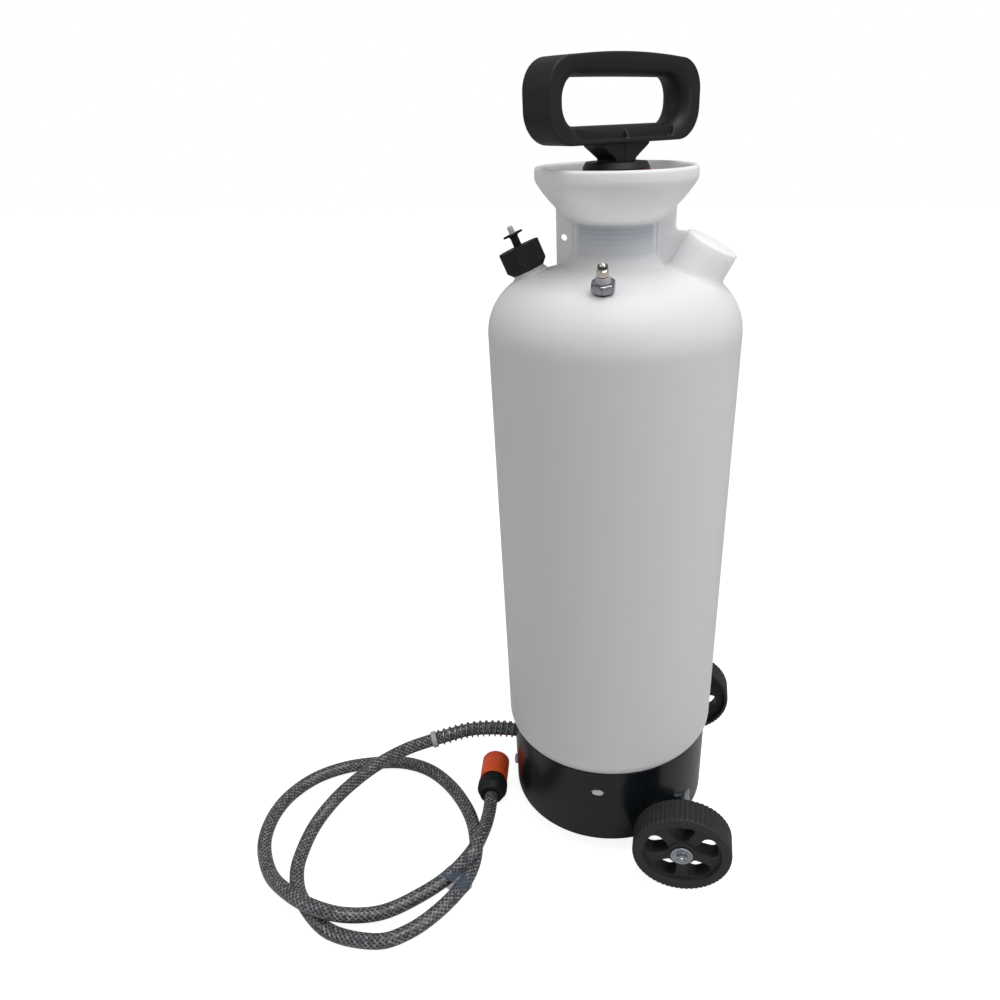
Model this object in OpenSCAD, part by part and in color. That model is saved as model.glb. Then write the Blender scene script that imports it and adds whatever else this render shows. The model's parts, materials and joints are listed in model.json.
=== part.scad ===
// Wheeled pump sprayer: a blow-moulded tank in a base ring on two wheels and a front foot, with a
// screw-in plunger pump, a relief valve, an air valve, and a guarded hose with a quick connector.
// Millimetres. Z is up, z = 0 is the floor, the wheels are at +X and the hose leaves at -X.
// The origin is the middle of the footprint box of the cart without its hose.

/* [Wheels and axle] */
// Diameter of each wheel
wheel_d = 100; // [96:1:112]
// Width of each wheel across the tread
wheel_w = 29; // [22:1:40]
// Gap between the base ring's side and a wheel
wheel_gap = 3; // [1:0.5:20]
// Distance from the tank axis back to the axle
axle_back = 89; // [80:1:92]
// Height of the axle above the lower edge of the base ring
axle_up = 25; // [15:1:27]
// Diameter of the axle
axle_d = 12; // [8:0.5:14]
// Number of tread lugs round a wheel
lug_count = 60; // [24:2:72]
// Depth of the grooves between the lugs
lug_depth = 1.3; // [1:0.1:3]
// Number of windows in a wheel
window_count = 5; // [4:1:7]
// Diameter of the wheel's hub
hub_d = 29; // [24:1:36]
// Width of the wheel's spokes
spoke_w = 12; // [8:0.5:16]
// Depth of the wheel's dish outside
dish_out = 4.5; // [2:0.5:8]
// Depth of the wheel's dish inside
dish_in = 8; // [4:0.5:12]
// Diameter of the washers that hold the wheels
washer_d = 22.6; // [18:0.2:27]

/* [Base ring and foot] */
// Height of the base ring
ring_h = 93; // [91:1:120]
// Wall of the base ring
ring_wall = 2.5; // [1.5:0.1:4]
// How far the tank stands out past the base ring
ring_step = 4; // [3:0.5:6]
// Width of the two latch holes in the ring
latch_w = 13; // [9:0.5:20]
// Height of the two latch holes
latch_h = 9; // [6:0.5:12]
// Width of the front foot bracket
foot_w = 44; // [36:1:60]
// Thickness of the foot bracket
foot_t = 3; // [2:0.5:5]
// Diameter of the rubber foot
foot_pad_d = 34; // [24:1:40]
// Thickness of the rubber foot
foot_pad_h = 9; // [6:0.5:14]
// Distance between the foot's two bolts
foot_bolt_gap = 23.4; // [18:0.2:28]
// Diameter of the foot's bolts
foot_bolt_d = 6; // [4:0.5:8]

/* [Tank] */
// Outside diameter of the tank
tank_d = 220; // [214:1:260]
// Wall of the tank
tank_wall = 3.2; // [2:0.1:5]
// Straight height of the tank from the ring to the shoulder
tank_straight_h = 422; // [400:1:520]
// Height of the tank's foot inside the base ring
tank_foot_h = 32; // [20:1:33]
// Radius of the shoulder
shoulder_r = 47.5; // [40:0.5:52]
// Slope of the dome above the shoulder in degrees
dome_slope = 15; // [10:1:20]
// Outside diameter of the neck
neck_d = 69; // [66:0.5:72]
// Straight height of the neck
neck_h = 20; // [16:0.5:30]
// Radius of the fillet under the neck
neck_fillet = 16; // [10:0.5:18]
// Outside diameter of the filling funnel
funnel_d = 131.4; // [120:0.2:150]
// Height of the funnel above the neck
funnel_h = 41.5; // [36:0.5:55]
// Height of the upright lip of the funnel
lip_h = 11.5; // [8:0.5:14]
// Wall of the funnel's lip
lip_wall = 4.5; // [3:0.1:6]
// Half width of the web on each side of the neck
web_x = 49.5; // [44:0.5:52]
// Thickness of the webs
web_t = 4.5; // [3:0.1:6]
// Diameter of the hole in the web
web_hole_d = 5.5; // [4:0.1:7]

/* [Shoulder ports] */
// Distance of the blank port in from the tank's side
blank_in = 42.6; // [40:0.2:46]
// Tilt of the blank port from upright in degrees
blank_tilt = 27.2; // [20:0.2:30]
// Diameter of the blank port
blank_d = 45.8; // [32:0.2:50]
// Height of the blank port above the dome along its axis
blank_len = 28; // [22:0.5:32]
// Distance of the relief valve in from the tank's side
relief_in = 37; // [35:0.5:42]
// Tilt of the relief valve from upright in degrees
relief_tilt = 23.4; // [20:0.2:30]
// Outside diameter of the relief port under its cap
relief_port_d = 28; // [24:0.5:30]
// Diameter of the relief valve's cap
relief_cap_d = 36.2; // [33:0.2:40]
// Height of the relief valve's cap
relief_cap_h = 21; // [15:0.5:22]
// Diameter of the relief valve's stem
relief_stem_d = 7; // [5:0.5:8]
// Diameter of the relief valve's pull disc
relief_disc_d = 17.6; // [14:0.2:20]
// Travel of the relief valve's stem
relief_travel = 2; // [1:0.5:2.5]
// Distance of the air valve in from the tank's side
air_valve_in = 37; // [35:1:48]
// Lean of the air valve out of square with the dome in degrees
air_valve_lean = 2; // [-3:0.5:10]
// Diameter of the air valve's stem
air_valve_d = 9.6; // [7:0.1:10]

/* [Pump] */
// Outside diameter of the pump cylinder
pump_d = 44; // [36:1:46]
// Wall of the pump cylinder
pump_wall = 2; // [1.5:0.1:3]
// Diameter of the plunger rod
rod_d = 12; // [8:0.5:14]
// Diameter of the knob on top of the pump head
hub_top_d = 54; // [46:1:58]
// Stroke of the plunger
stroke = 230; // [150:5:260]

/* [Handle] */
// Length of the grip loop
grip_l = 162; // [150:1:180]
// Height of the grip loop
grip_h = 60.6; // [54:0.2:70]
// Depth of the grip loop from front to back
grip_t = 30; // [22:0.5:34]
// Width of the loop's sides
grip_side = 19; // [10:0.5:24]
// Height of the loop's upper bar
grip_top = 16; // [10:0.5:18]
// Height of the loop's lower bar
grip_low = 12.6; // [9:0.2:16]
// Height of the neck between the knob and the grip loop
grip_neck_h = 18.1; // [16:0.1:30]
// Turn of the handle about the tank axis in degrees
grip_turn = 51; // [0:0.1:90]

/* [Hose and connector] */
// Outside diameter of the hose
hose_d = 15; // [12:0.5:17]
// Thickness of the spring guard's wire
guard_wire = 2.5; // [1.2:0.1:3]
// Outside diameter of the connector's sleeve
sleeve_d = 32; // [28:0.5:34]
// Length of the connector's sleeve
sleeve_len = 34; // [28:0.5:40]
// Outside diameter of the connector's nut
conn_nut_d = 34; // [30:0.5:34]
// Length of the connector's nut
conn_nut_len = 20; // [16:0.5:26]
// Diameter of the connector's socket
socket_d = 17; // [14:0.5:18]
// Travel of the connector's sleeve
sleeve_travel = 4; // [2:0.5:4.5]

/* [Hidden] */
$fn = 96;
eps = 0.01;
fit_gap = 0.3;      // between faces of different bodies
run_gap = 0.05;     // radial clearance of running fits

// Heights above the floor and main radii
axle_z = wheel_d / 2;
ring_z = axle_z - axle_up;
seat_z = ring_z + ring_h;
tank_r = tank_d / 2;
ring_r = tank_r - ring_step;
ring_in = ring_r - ring_wall;
foot_r = ring_in - fit_gap;
base_z = seat_z - tank_foot_h;
base_fillet = 12;
seat_rise = 13;
foot_top_z = seat_z - 5;
shoulder_z = seat_z + tank_straight_h;
neck_r = neck_d / 2;
neck_in = neck_r - tank_wall;
dome_r = tank_r - shoulder_r;
dome_edge = [dome_r + shoulder_r * sin(dome_slope), shoulder_z + shoulder_r * cos(dome_slope)];
neck_z = dome_z(neck_r + neck_fillet) + neck_fillet / cos(dome_slope);
funnel_z = neck_z + neck_h;
rim_z = funnel_z + funnel_h;
rim_r = funnel_d / 2;
lip_z = rim_z - lip_h;
lip_round = 1.5;
bowl_bulge = 3;
ledge_r = neck_in + 6;
ledge_z = funnel_z + 5;
web_low = neck_z - 18;
web_high = funnel_z + 9;
web_hole_x = web_x - 6.5;
web_hole_z = neck_z + 7;
latch_z = seat_z - 27;
latch_gap = 0.5;

// Front foot
foot_bolt_z = ring_z + 11;
foot_bolt_a = asin(foot_bolt_gap / 2 / ring_r);
foot_bolt_hole = foot_bolt_d + 0.4;
foot_nut_t = 5;
foot_stud = 2;
foot_head_t = 4;
foot_leg_r = ring_in - 0.2;
foot_x = foot_pad_d / 2 + 2 - foot_leg_r;
foot_stem_d = 8;

// The footprint box without the hose puts the tank axis here
front_reach = max(tank_r,
    (ring_r + foot_nut_t + foot_stud) * cos(foot_bolt_a) + foot_bolt_d / 2 * sin(foot_bolt_a));
tank_x = (front_reach - axle_back - wheel_d / 2) / 2;
axle_x = tank_x + axle_back;

// Along the axle
wheel_y = ring_r + wheel_gap + wheel_w / 2;
hub_in_y = wheel_y - wheel_w / 2 + 1;
hub_out_y = wheel_y + wheel_w / 2 - 2;
washer_t = 2.2;
stud_d = axle_d / 2;
stud_nut_af = stud_d + 4;
stud_nut_t = 4;
stud_out = 0.8;
shaft_end_y = hub_out_y + fit_gap;
spacer_d = axle_d + 7;
spacer_in_y = sqrt(pow(ring_r, 2) - pow(axle_back - spacer_d / 2, 2)) + fit_gap;

// Wheel, measured from the middle of its width with its outer face up
web_out = wheel_w / 2 - dish_out;
web_in = dish_in - wheel_w / 2;
tread_round = 3;
dish_r = wheel_d / 2 - 12;
back_r = wheel_d / 2 - 4;      // the dish inside is wider than the one outside
dish_round = 1.5;
window_r = dish_r - 1;
window_in_r = hub_d / 2 + 0.3;
window_round = 7;
wheel_turn = 3;      // how far the wheels stand turned, in degrees
lug_gap = 1.6;

// Shoulder ports, leaning outwards
blank_r = tank_r - blank_in;
blank_round = 1.8;
blank_corner = [blank_r + blank_len * sin(blank_tilt) - blank_d / 2 * cos(blank_tilt),
    dome_z(blank_r) + blank_len * cos(blank_tilt) + blank_d / 2 * sin(blank_tilt)];
web_round = 3.5;
web_dip = 2;         // the web's valley lies this far below the port's corner
relief_r = tank_r - relief_in;
cap_top = 24.6;
cap_top_t = 3.5;
relief_port_bore = 18;
relief_seat_t = 2;
relief_seat_bore = 8;
relief_washer_t = 1.2;
spring_solid = 1.5;
flange_d = 12;
flange_t = 2;
flange_z = cap_top - cap_top_t - spring_solid - relief_travel - flange_t;
relief_port_top = flange_z - relief_washer_t - fit_gap - relief_seat_t;
disc_up = 11.3;
disc_t = 1.6;
tip_up = 17.6;
port_wall = 3.2;
cap_chamfer = 4;
tip_cone = 1.5;

// Air valve, along its own axis from the dome, on a flat boss
air_valve_x = -1.4;  // it stands just off the middle plane of the tank
air_valve_r = tank_r - air_valve_in;
air_valve_tilt = dome_slope + air_valve_lean;
valve_gasket_t = 1.5;
valve_gasket_d = 19;
valve_seat = valve_gasket_d / 2 * abs(sin(air_valve_lean)) + 0.1;
valve_nut_h = 7;
valve_nut_af = 18;
valve_cap_at = 14;
valve_cap_r = 5.2;
valve_len = 23.8;
valve_core_d = air_valve_d - 1.6;
valve_core_top = 20.6;
cap_seal_t = 0.8;
valve_head_t = 2.4;

// Pump, from the head down
plug_r = neck_in - fit_gap;
plug_z = ledge_z - 27;
seal_t = 2.5;
head_z = ledge_z + seal_t;
head_flange_h = 6.5;
head_flange_r = ledge_r - 1;
hub_top_z = rim_z - 4.4;
head_ring_t = 2;
guide_h = 11;
guide_d = rod_d + 12;
pump_r = pump_d / 2;
pump_in = pump_r - pump_wall;
pump_top_z = plug_z + 21;
pump_low_z = plug_z - stroke - 70;
foot_cap_floor = 8;
foot_cap_h = 26;
piston_z = pump_low_z + 12;
piston_t = 12;
cup_t = 6;
rod_low_z = piston_z + 3;
thread_h = 0.7;
thread_pitch = 4;
rib_count = 8;

// Handle
knob_z = hub_top_z + head_ring_t + fit_gap;
knob_h = 4.7;
rod_top_z = knob_z + 14;
loop_z = knob_z + grip_neck_h;
neck_half = 13.3;
gusset_half = 28;
gusset_depth = 22;
grip_corner = 23;
window_corner = 14.5;
grip_crown = 2.8;    // rise of the upper bar's middle
grip_edge = 2;       // round of the loop's outer edges and of its window's, in steps
grip_round = 9;
grip_flange = 3.5;   // the lower bar's flange, web and rib
grip_web = 12;
grip_rib = 4;
pocket_high = grip_l / 2 - grip_side - 2;
pocket_low = pocket_high - 6;
pin_d = 4;
pin_z = knob_z + 9;

// Outlet under the tank
outlet_x = tank_x - 60;
elbow_r = 7;
elbow_bore = 9;
outlet_flange_r = 13;
outlet_flange_t = 3;
gasket_t = 2;
outlet_nut_h = 6;
elbow_len = 14;
outlet_nut_af = 24;
outlet_drop = 17;
hose_z = base_z - outlet_drop;

// The hose's route: out of the ring, down to the floor, once round and over itself
HOSE = [[-101, 0, hose_z], [-140, 0, hose_z], [-176, -6, hose_z - 1], [-211, -20, hose_z - 6],
    [-245, -35, hose_z - 13], [-273, -51, hose_z - 23], [-297, -68, hose_z - 36], [-317, -91, 21], [-329, -121, 12], [-330, -154, 8],
    [-323, -184, 8], [-304, -213, 8], [-262, -243, 8], [-213, -247, 8], [-185, -233, 8],
    [-162, -206, 8], [-145, -173, 9], [-141, -140, 8], [-148, -108, 8], [-165, -75, 8],
    [-194, -42, 8], [-228, -19, 8], [-264, -11, 8], [-300, -17, 8], [-334, -30, 8],
    [-362, -52, 8], [-380, -84, 8], [-384, -119, 8], [-375, -155, 8], [-350, -190, 10],
    [-316, -216, 20], [-281, -231, 24], [-247, -232, 20], [-215, -216, 10], [-184, -189, 8],
    [-160, -163, 11], [-142, -141, 23], [-137, -112, 23], [-138.6, -82, 17], [-142, -56, 17]];
hose_r = hose_d / 2;
hose_steps = 3;       // rings along each stretch between two points
hose_sides = 12;
guard_steps = 5;
guard_end = 3;        // the guard ends at this point of the route
guard_in = hose_r + 0.9;
guard_d = 2 * (guard_in + guard_wire);
hose_hole_d = guard_d + 2;
foot_leg_top = hose_z - guard_d / 2 - 3;   // the foot's bracket ends under the hose
clip_len = 8;
hose_last = len(HOSE) - 1;
conn_at = HOSE[hose_last];
conn_dir = HOSE[hose_last] - HOSE[hose_last - 1];
conn_turn = atan2(conn_dir[1], conn_dir[0]);
sleeve_at = conn_nut_len + sleeve_travel + 0.5;
conn_end = sleeve_at + sleeve_len;
conn_body_d = sleeve_d - 5;
conn_tail_d = conn_body_d - 8;
conn_taper = 7;
nut_ribs = 24;
nut_rib_w = 1.8;
socket_at = conn_nut_len + 6;
seal_at = conn_nut_len + 10;
seal_w = 3;
seal_r = 0.95;
tie_len = 14;
tie_t = 1;
tie_a = [-145.5, -174, 9];
tie_b = [-162, -165, 10.5];

function dome_z(r) = r > dome_edge[0]
    ? shoulder_z + sqrt(pow(shoulder_r, 2) - pow(r - dome_r, 2))
    : dome_edge[1] + (dome_edge[0] - r) * tan(dome_slope);

// Points along an arc about [x, z] from angle a to angle b
function arc(x, z, r, a, b, n = 12) =
    [for (i = [0:n]) [x + r * cos(a + (b - a) * i / n), z + r * sin(a + (b - a) * i / n)]];

// Points along an arc from p to q that bulges by s to the right of the way
function bow(p, q, s, n = 12) =
    let (c = norm(q - p), d = (q - p) / c, side = [d[1], -d[0]], r = (c * c / 4 + s * s) / (2 * s),
        mid = (p + q) / 2 - side * (r - s), h = asin(c / 2 / r))
    [for (i = [0:n]) let (t = -h + 2 * h * i / n) mid + r * (side * cos(t) + d * sin(t))];

// A smooth curve through the route's points, and the way it runs
function route(i, t) =
    let (a = HOSE[max(i - 1, 0)], b = HOSE[i], c = HOSE[min(i + 1, hose_last)],
        d = HOSE[min(i + 2, hose_last)],
        p = 0.5 * (2 * b + (c - a) * t + (2 * a - 5 * b + 4 * c - d) * t * t
            + (3 * b - a - 3 * c + d) * t * t * t))
    [p[0], p[1], max(p[2], hose_r + 0.2)];
function route_points(last, steps) =
    [for (i = [0:last - 1]) for (k = [0:steps - 1]) route(i, k / steps), HOSE[last]];
function ring_points(p, i, r, sides) =
    let (t = p[min(i + 1, len(p) - 1)] - p[max(i - 1, 0)], f = t / norm(t),
        side = cross(f, [0, 0, 1]) / norm(cross(f, [0, 0, 1])), up = cross(side, f))
    [for (k = [0:sides - 1]) let (a = 360 * k / sides) p[i] + r * (side * cos(a) + up * sin(a))];

// A tube of radius r along the points p, closed at both ends
module sweep(p, r, sides) {
    n = len(p);
    points = [for (i = [0:n - 1]) each ring_points(p, i, r, sides)];
    walls = [for (i = [0:n - 2]) for (k = [0:sides - 1]) let (m = (k + 1) % sides)
        each [[i * sides + k, i * sides + m, (i + 1) * sides + m],
            [i * sides + k, (i + 1) * sides + m, (i + 1) * sides + k]]];
    ends = [[for (k = [sides - 1:-1:0]) k], [for (k = [0:sides - 1]) (n - 1) * sides + k]];
    polyhedron(points, concat(walls, ends));
}

module tube(od, id, h) {
    difference() {
        cylinder(d = od, h = h);
        translate([0, 0, -1]) cylinder(d = id, h = h + 2);
    }
}

module on_tank() { translate([tank_x, 0, 0]) children(); }

module hex(af, h) { cylinder(d = af / cos(30), h = h, $fn = 6); }

// A rounded rectangle about the origin
module rounded(w, h, r) {
    square([w - 2 * r, h], center = true);
    square([w, h - 2 * r], center = true);
    for (x = [-1, 1]) for (y = [-1, 1]) translate([x * (w / 2 - r), y * (h / 2 - r)]) circle(r);
}

// A cylinder of diameter d along +X from x = 0
module along_x(d, h) { rotate([0, 90, 0]) cylinder(d = d, h = h); }

// A cylinder of diameter d through the ring on the Y axis at x, z
module through_y(d, h) { rotate([90, 0, 0]) cylinder(d = d, h = h, center = true); }

// ---- tank ----
module tank_outside() {
    rotate_extrude() polygon(concat([[0, base_z]],
        arc(foot_r - base_fillet, base_z + base_fillet, base_fillet, -90, 0, 8),
        [[foot_r, seat_z]],
        bow([ring_r - 0.6, seat_z], [tank_r, seat_z + seat_rise], 1.2, 8),
        arc(dome_r, shoulder_z, shoulder_r, 0, 90 - dome_slope, 16),
        arc(neck_r + neck_fillet, neck_z, neck_fillet, 270 - dome_slope, 180, 8),
        bow([neck_r, funnel_z], [rim_r - 1.1, lip_z], bowl_bulge),
        [[rim_r, lip_z + 3]],
        arc(rim_r - lip_round, rim_z - lip_round, lip_round, 0, 90, 4),
        [[0, rim_z]]));
}

module tank_inside() {
    rotate_extrude() polygon(concat([[0, base_z + tank_wall]],
        arc(foot_r - base_fillet, base_z + base_fillet, base_fillet - tank_wall, -90, 0, 8),
        [[foot_r - tank_wall, seat_z - 2]],
        [[tank_r - tank_wall, seat_z + seat_rise + 2]],
        arc(dome_r, shoulder_z, shoulder_r - tank_wall, 0, 90 - dome_slope, 16),
        arc(neck_r + neck_fillet, neck_z, neck_fillet + tank_wall, 270 - dome_slope, 180, 8),
        [[neck_in, ledge_z]],
        bow([ledge_r, ledge_z], [rim_r - lip_wall, lip_z], bowl_bulge),
        arc(rim_r - lip_wall + lip_round, rim_z - lip_round, lip_round, 180, 90, 4),
        [[rim_r - lip_wall + lip_round, rim_z + 1], [0, rim_z + 1]]));
}

// Puts its children at a shoulder port with the port's axis as Z
module at_port(side, r, tilt) {
    translate([tank_x + side * r, 0, dome_z(r)]) rotate([0, side * tilt, 0]) children();
}
module at_blank() { at_port(1, blank_r, blank_tilt) children(); }
module at_relief() { at_port(-1, relief_r, relief_tilt) children(); }

module at_air_valve() {
    translate([tank_x + air_valve_x, -air_valve_r, dome_z(air_valve_r)])
        rotate([air_valve_tilt, 0, 0]) children();
}

// An upright slot through the ring on both sides, a lug or a hole
module latch(w, h, depth) {
    rotate([90, 0, 0]) linear_extrude(depth, center = true) {
        square([w - h, h], center = true);
        for (x = [-1, 1]) translate([x * (w - h) / 2, 0]) circle(d = h);
    }
}

// What stands out of the tank's dome: two ports and the air valve's boss
module ports_outside() {
    at_blank() rotate_extrude() polygon(concat([[0, -14], [blank_d / 2, -14]],
        arc(blank_d / 2 - blank_round, blank_len - blank_round, blank_round, 0, 90, 4),
        [[0, blank_len]]));
    at_relief() translate([0, 0, -12]) cylinder(d = relief_port_d, h = relief_port_top + 12);
    at_air_valve() translate([0, 0, -2]) cylinder(d = valve_gasket_d + 1, h = 2 + valve_seat - run_gap);
}

module neck_threads() {
    on_tank() for (z = [neck_z + 3:thread_pitch:funnel_z - 2])
        translate([0, 0, z]) rotate_extrude() translate([neck_r - 1, 0]) circle(1 + thread_h, $fn = 16);
}

// The tank's moulding is kept as a foot, a barrel, a dome, a funnel, its lip and two webs
module tank_moulding(low, high) difference() {
    intersection() {
        union() {
            on_tank() tank_outside();
            children();
        }
        on_tank() translate([0, 0, low]) cylinder(r = tank_d, h = high - low);
    }
    on_tank() tank_inside();
}

module tank_foot() color("whitesmoke") difference() {
    tank_moulding(base_z - 1, foot_top_z) on_tank() translate([0, 0, latch_z])
        latch(latch_w - 2 * latch_gap, latch_h - 2 * latch_gap, 2 * ring_r - 1);
    translate([outlet_x, 0, base_z - 1]) cylinder(r = elbow_r + 0.1, h = tank_wall + 2);
}

module tank_barrel() color("whitesmoke") tank_moulding(foot_top_z, shoulder_z);

module tank_dome() color("whitesmoke") difference() {
    tank_moulding(shoulder_z, funnel_z) {
        neck_threads();
        ports_outside();
    }
    at_blank() translate([0, 0, -20])
        cylinder(d = blank_d - 2 * port_wall, h = 20 + blank_len - port_wall);
    at_relief() translate([0, 0, -20]) cylinder(d = relief_port_bore, h = 60);
    at_air_valve() translate([0, 0, -12]) cylinder(d = air_valve_d + 0.2, h = 30);
}

module tank_funnel() color("whitesmoke") tank_moulding(funnel_z, lip_z);

module tank_lip() color("whitesmoke") tank_moulding(lip_z, rim_z + 1);

// The web on the blank port's side runs out to the port's top
module tank_webs() color("whitesmoke") difference() {
    on_tank() rotate([90, 0, 0]) linear_extrude(web_t, center = true) {
        translate([-web_x, web_low]) square([2 * web_x, web_high - web_low]);
        polygon(concat([[0, web_low], [blank_corner[0], web_low], blank_corner],
            arc(web_x + web_round, blank_corner[1] - web_dip + web_round, web_round, 285, 180, 8),
            [[0, blank_corner[1] - web_dip + web_round]]));
    }
    on_tank() tank_outside();
    neck_threads();
    ports_outside();
    translate([tank_x - web_hole_x, 0, web_hole_z]) through_y(web_hole_d, 3 * web_t);
}

// ---- base ring and foot ----
module foot_bolt_axes() {
    on_tank() for (s = [-1, 1]) rotate([0, 0, 180 + s * foot_bolt_a])
        translate([0, 0, foot_bolt_z]) children();
}

module base_ring() color([0.12, 0.13, 0.14]) difference() {
    on_tank() translate([0, 0, ring_z]) tube(2 * ring_r, 2 * ring_in, ring_h);
    on_tank() translate([0, 0, latch_z]) latch(latch_w, latch_h, 3 * ring_r);
    translate([axle_x, 0, axle_z]) through_y(axle_d + 0.4, 3 * ring_r);
    on_tank() translate([-1.2 * ring_r, 0, hose_z]) along_x(hose_hole_d, ring_r / 2);
    foot_bolt_axes() translate([ring_in - 5, 0, 0]) along_x(foot_bolt_hole, 12);
}

module foot_bracket() color("dimgray") difference() {
    on_tank() intersection() {
        union() {
            translate([0, 0, foot_pad_h]) tube(2 * foot_leg_r, 2 * (foot_leg_r - foot_t),
                foot_leg_top - foot_pad_h);
            translate([0, 0, foot_pad_h]) cylinder(r = foot_leg_r, h = foot_t);
        }
        translate([-foot_leg_r - 1, -foot_w / 2, 0])
            cube([foot_pad_d + 5, foot_w, foot_leg_top]);
    }
    foot_bolt_axes() translate([ring_in - 20, 0, 0]) along_x(foot_bolt_hole, 30);
    on_tank() translate([foot_x, 0, 0]) cylinder(d = foot_stem_d + 0.2, h = foot_pad_h + foot_t + 1);
}

module foot_pad() color([0.1, 0.1, 0.1]) on_tank() translate([foot_x, 0, 0]) {
    cylinder(d1 = foot_pad_d, d2 = foot_pad_d - 3, h = foot_pad_h);
    cylinder(d = foot_stem_d, h = foot_pad_h + foot_t);
    translate([0, 0, foot_pad_h + foot_t]) cylinder(d = foot_stem_d + 5, h = 2.5);
}

module foot_bolts() color("silver") foot_bolt_axes() {
    translate([foot_leg_r - foot_t - foot_head_t - 0.2, 0, 0]) {
        along_x(foot_bolt_d + 5, foot_head_t);
        along_x(foot_bolt_d, ring_r + foot_nut_t + foot_stud - foot_leg_r + foot_t + foot_head_t + 0.2);
    }
}

module foot_nuts() color("silver") foot_bolt_axes() translate([ring_r + run_gap, 0, 0])
    rotate([0, 90, 0]) difference() {
        hex(foot_bolt_d + 4, foot_nut_t);
        translate([0, 0, -1]) cylinder(d = foot_bolt_d + 0.1, h = foot_nut_t + 2);
    }

// ---- axle and wheels ----
// Puts its children on the axle at +Y and -Y with Z pointing outwards
module axle_ends() {
    for (s = [-1, 1]) translate([axle_x, 0, axle_z]) rotate([-s * 90, 0, 0]) children();
}

module axle() color("silver") {
    translate([axle_x, 0, axle_z]) through_y(axle_d, 2 * shaft_end_y);
    axle_ends() translate([0, 0, shaft_end_y])
        cylinder(d = stud_d, h = washer_t + stud_nut_t + stud_out);
}

module axle_spacers() color([0.15, 0.15, 0.16]) axle_ends() translate([0, 0, spacer_in_y])
    tube(spacer_d, axle_d + 0.2, hub_in_y - fit_gap - spacer_in_y);

module axle_washers() color("lightsteelblue") axle_ends() translate([0, 0, shaft_end_y])
    tube(washer_d, stud_d + 0.2, washer_t);

module axle_nuts() color("lightsteelblue") axle_ends()
    translate([0, 0, shaft_end_y + washer_t]) difference() {
        hex(stud_nut_af, stud_nut_t);
        translate([0, 0, -1]) cylinder(d = stud_d + 0.1, h = stud_nut_t + 2);
    }

// The wheel about Z, its outer face up, the middle of its tread at z = 0
module wheel() difference() {
    rotate_extrude() polygon(concat([[axle_d / 2 + run_gap, hub_in_y - wheel_y],
        [hub_d / 2, hub_in_y - wheel_y], [hub_d / 2, web_in], [back_r - dish_round, web_in],
        [back_r, web_in - dish_round], [back_r, -wheel_w / 2]],
        arc(wheel_d / 2 - tread_round, tread_round - wheel_w / 2, tread_round, -90, 0, 5),
        arc(wheel_d / 2 - tread_round, wheel_w / 2 - tread_round, tread_round, 0, 90, 5),
        [[dish_r + dish_round, wheel_w / 2], [dish_r, web_out], [hub_d / 2, web_out],
        [hub_d / 2, hub_out_y - wheel_y], [axle_d / 2 + run_gap, hub_out_y - wheel_y]]));
    for (i = [0:lug_count - 1]) rotate([0, 0, (i + 0.5) * 360 / lug_count])
        translate([wheel_d / 2 - lug_depth, -lug_gap / 2, -wheel_w])
            cube([lug_depth + 1, lug_gap, 2 * wheel_w]);
    for (i = [0:window_count - 1]) rotate([0, 0, wheel_turn - 90 + (i + 0.5) * 360 / window_count])
        translate([0, 0, web_in - 1]) linear_extrude(web_out - web_in + 2) wheel_window();
}

// The angle, from a window's middle line, of the middle of its corner round at radius r
function corner_a(r) = max(1, 180 / window_count - asin((spoke_w / 2 + window_round) / r));

// A window between two spokes, about +X, with rounded corners
module wheel_window() {
    ro = window_r - window_round;
    ri = window_in_r + window_round;
    ao = corner_a(ro);
    ai = corner_a(ri);
    side = 90 + 180 / window_count;
    polygon(concat(
        arc(0, 0, window_r, -ao, ao, 8),
        arc(ro * cos(ao), ro * sin(ao), window_round, ao, side, 4),
        arc(ri * cos(ai), ri * sin(ai), window_round, side, 180 + ai, 4),
        arc(0, 0, window_in_r, ai, -ai, 4),
        arc(ri * cos(ai), -ri * sin(ai), window_round, 180 - ai, 360 - side, 4),
        arc(ro * cos(ao), -ro * sin(ao), window_round, 360 - side, 360 - ao, 4)));
}

module wheel_left() color([0.18, 0.18, 0.18])
    translate([axle_x, -wheel_y, axle_z]) rotate([90, 0, 0]) wheel();

module wheel_right() color([0.18, 0.18, 0.18])
    translate([axle_x, wheel_y, axle_z]) rotate([-90, 0, 0]) wheel();

// ---- pump ----
module pump_seal() color([0.1, 0.1, 0.1])
    on_tank() translate([0, 0, ledge_z]) tube(2 * (ledge_r - 0.7), 2 * (plug_r + 0.4), seal_t);

module pump_head() color([0.12, 0.13, 0.14]) on_tank() difference() {
    union() {
        translate([0, 0, plug_z]) cylinder(r = plug_r, h = head_z - plug_z);
        translate([0, 0, head_z]) cylinder(r = head_flange_r, h = head_flange_h);
        translate([0, 0, head_z]) cylinder(d = hub_top_d - 4, h = hub_top_z - head_z);
        for (i = [0:rib_count - 1]) rotate([0, 0, 360 * i / rib_count]) translate([0, -2, head_z])
            cube([hub_top_d / 2 + 4, 4, hub_top_z - head_z - 8]);
        translate([0, 0, hub_top_z - 5]) cylinder(d = hub_top_d, h = 5);
    }
    translate([0, 0, plug_z - 1]) cylinder(r = pump_r + 0.05, h = pump_top_z - plug_z + 1);
    translate([0, 0, plug_z]) cylinder(d = rod_d + 2, h = hub_top_z);
    translate([0, 0, hub_top_z - guide_h]) cylinder(d = guide_d, h = guide_h + 1);
}

module head_ring() color("darkred")
    on_tank() translate([0, 0, hub_top_z]) tube(hub_top_d, guide_d - 4, head_ring_t);

module rod_guide() color("white") on_tank() translate([0, 0, hub_top_z - guide_h])
    tube(guide_d - 0.1, rod_d + 2 * run_gap, guide_h);

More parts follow.
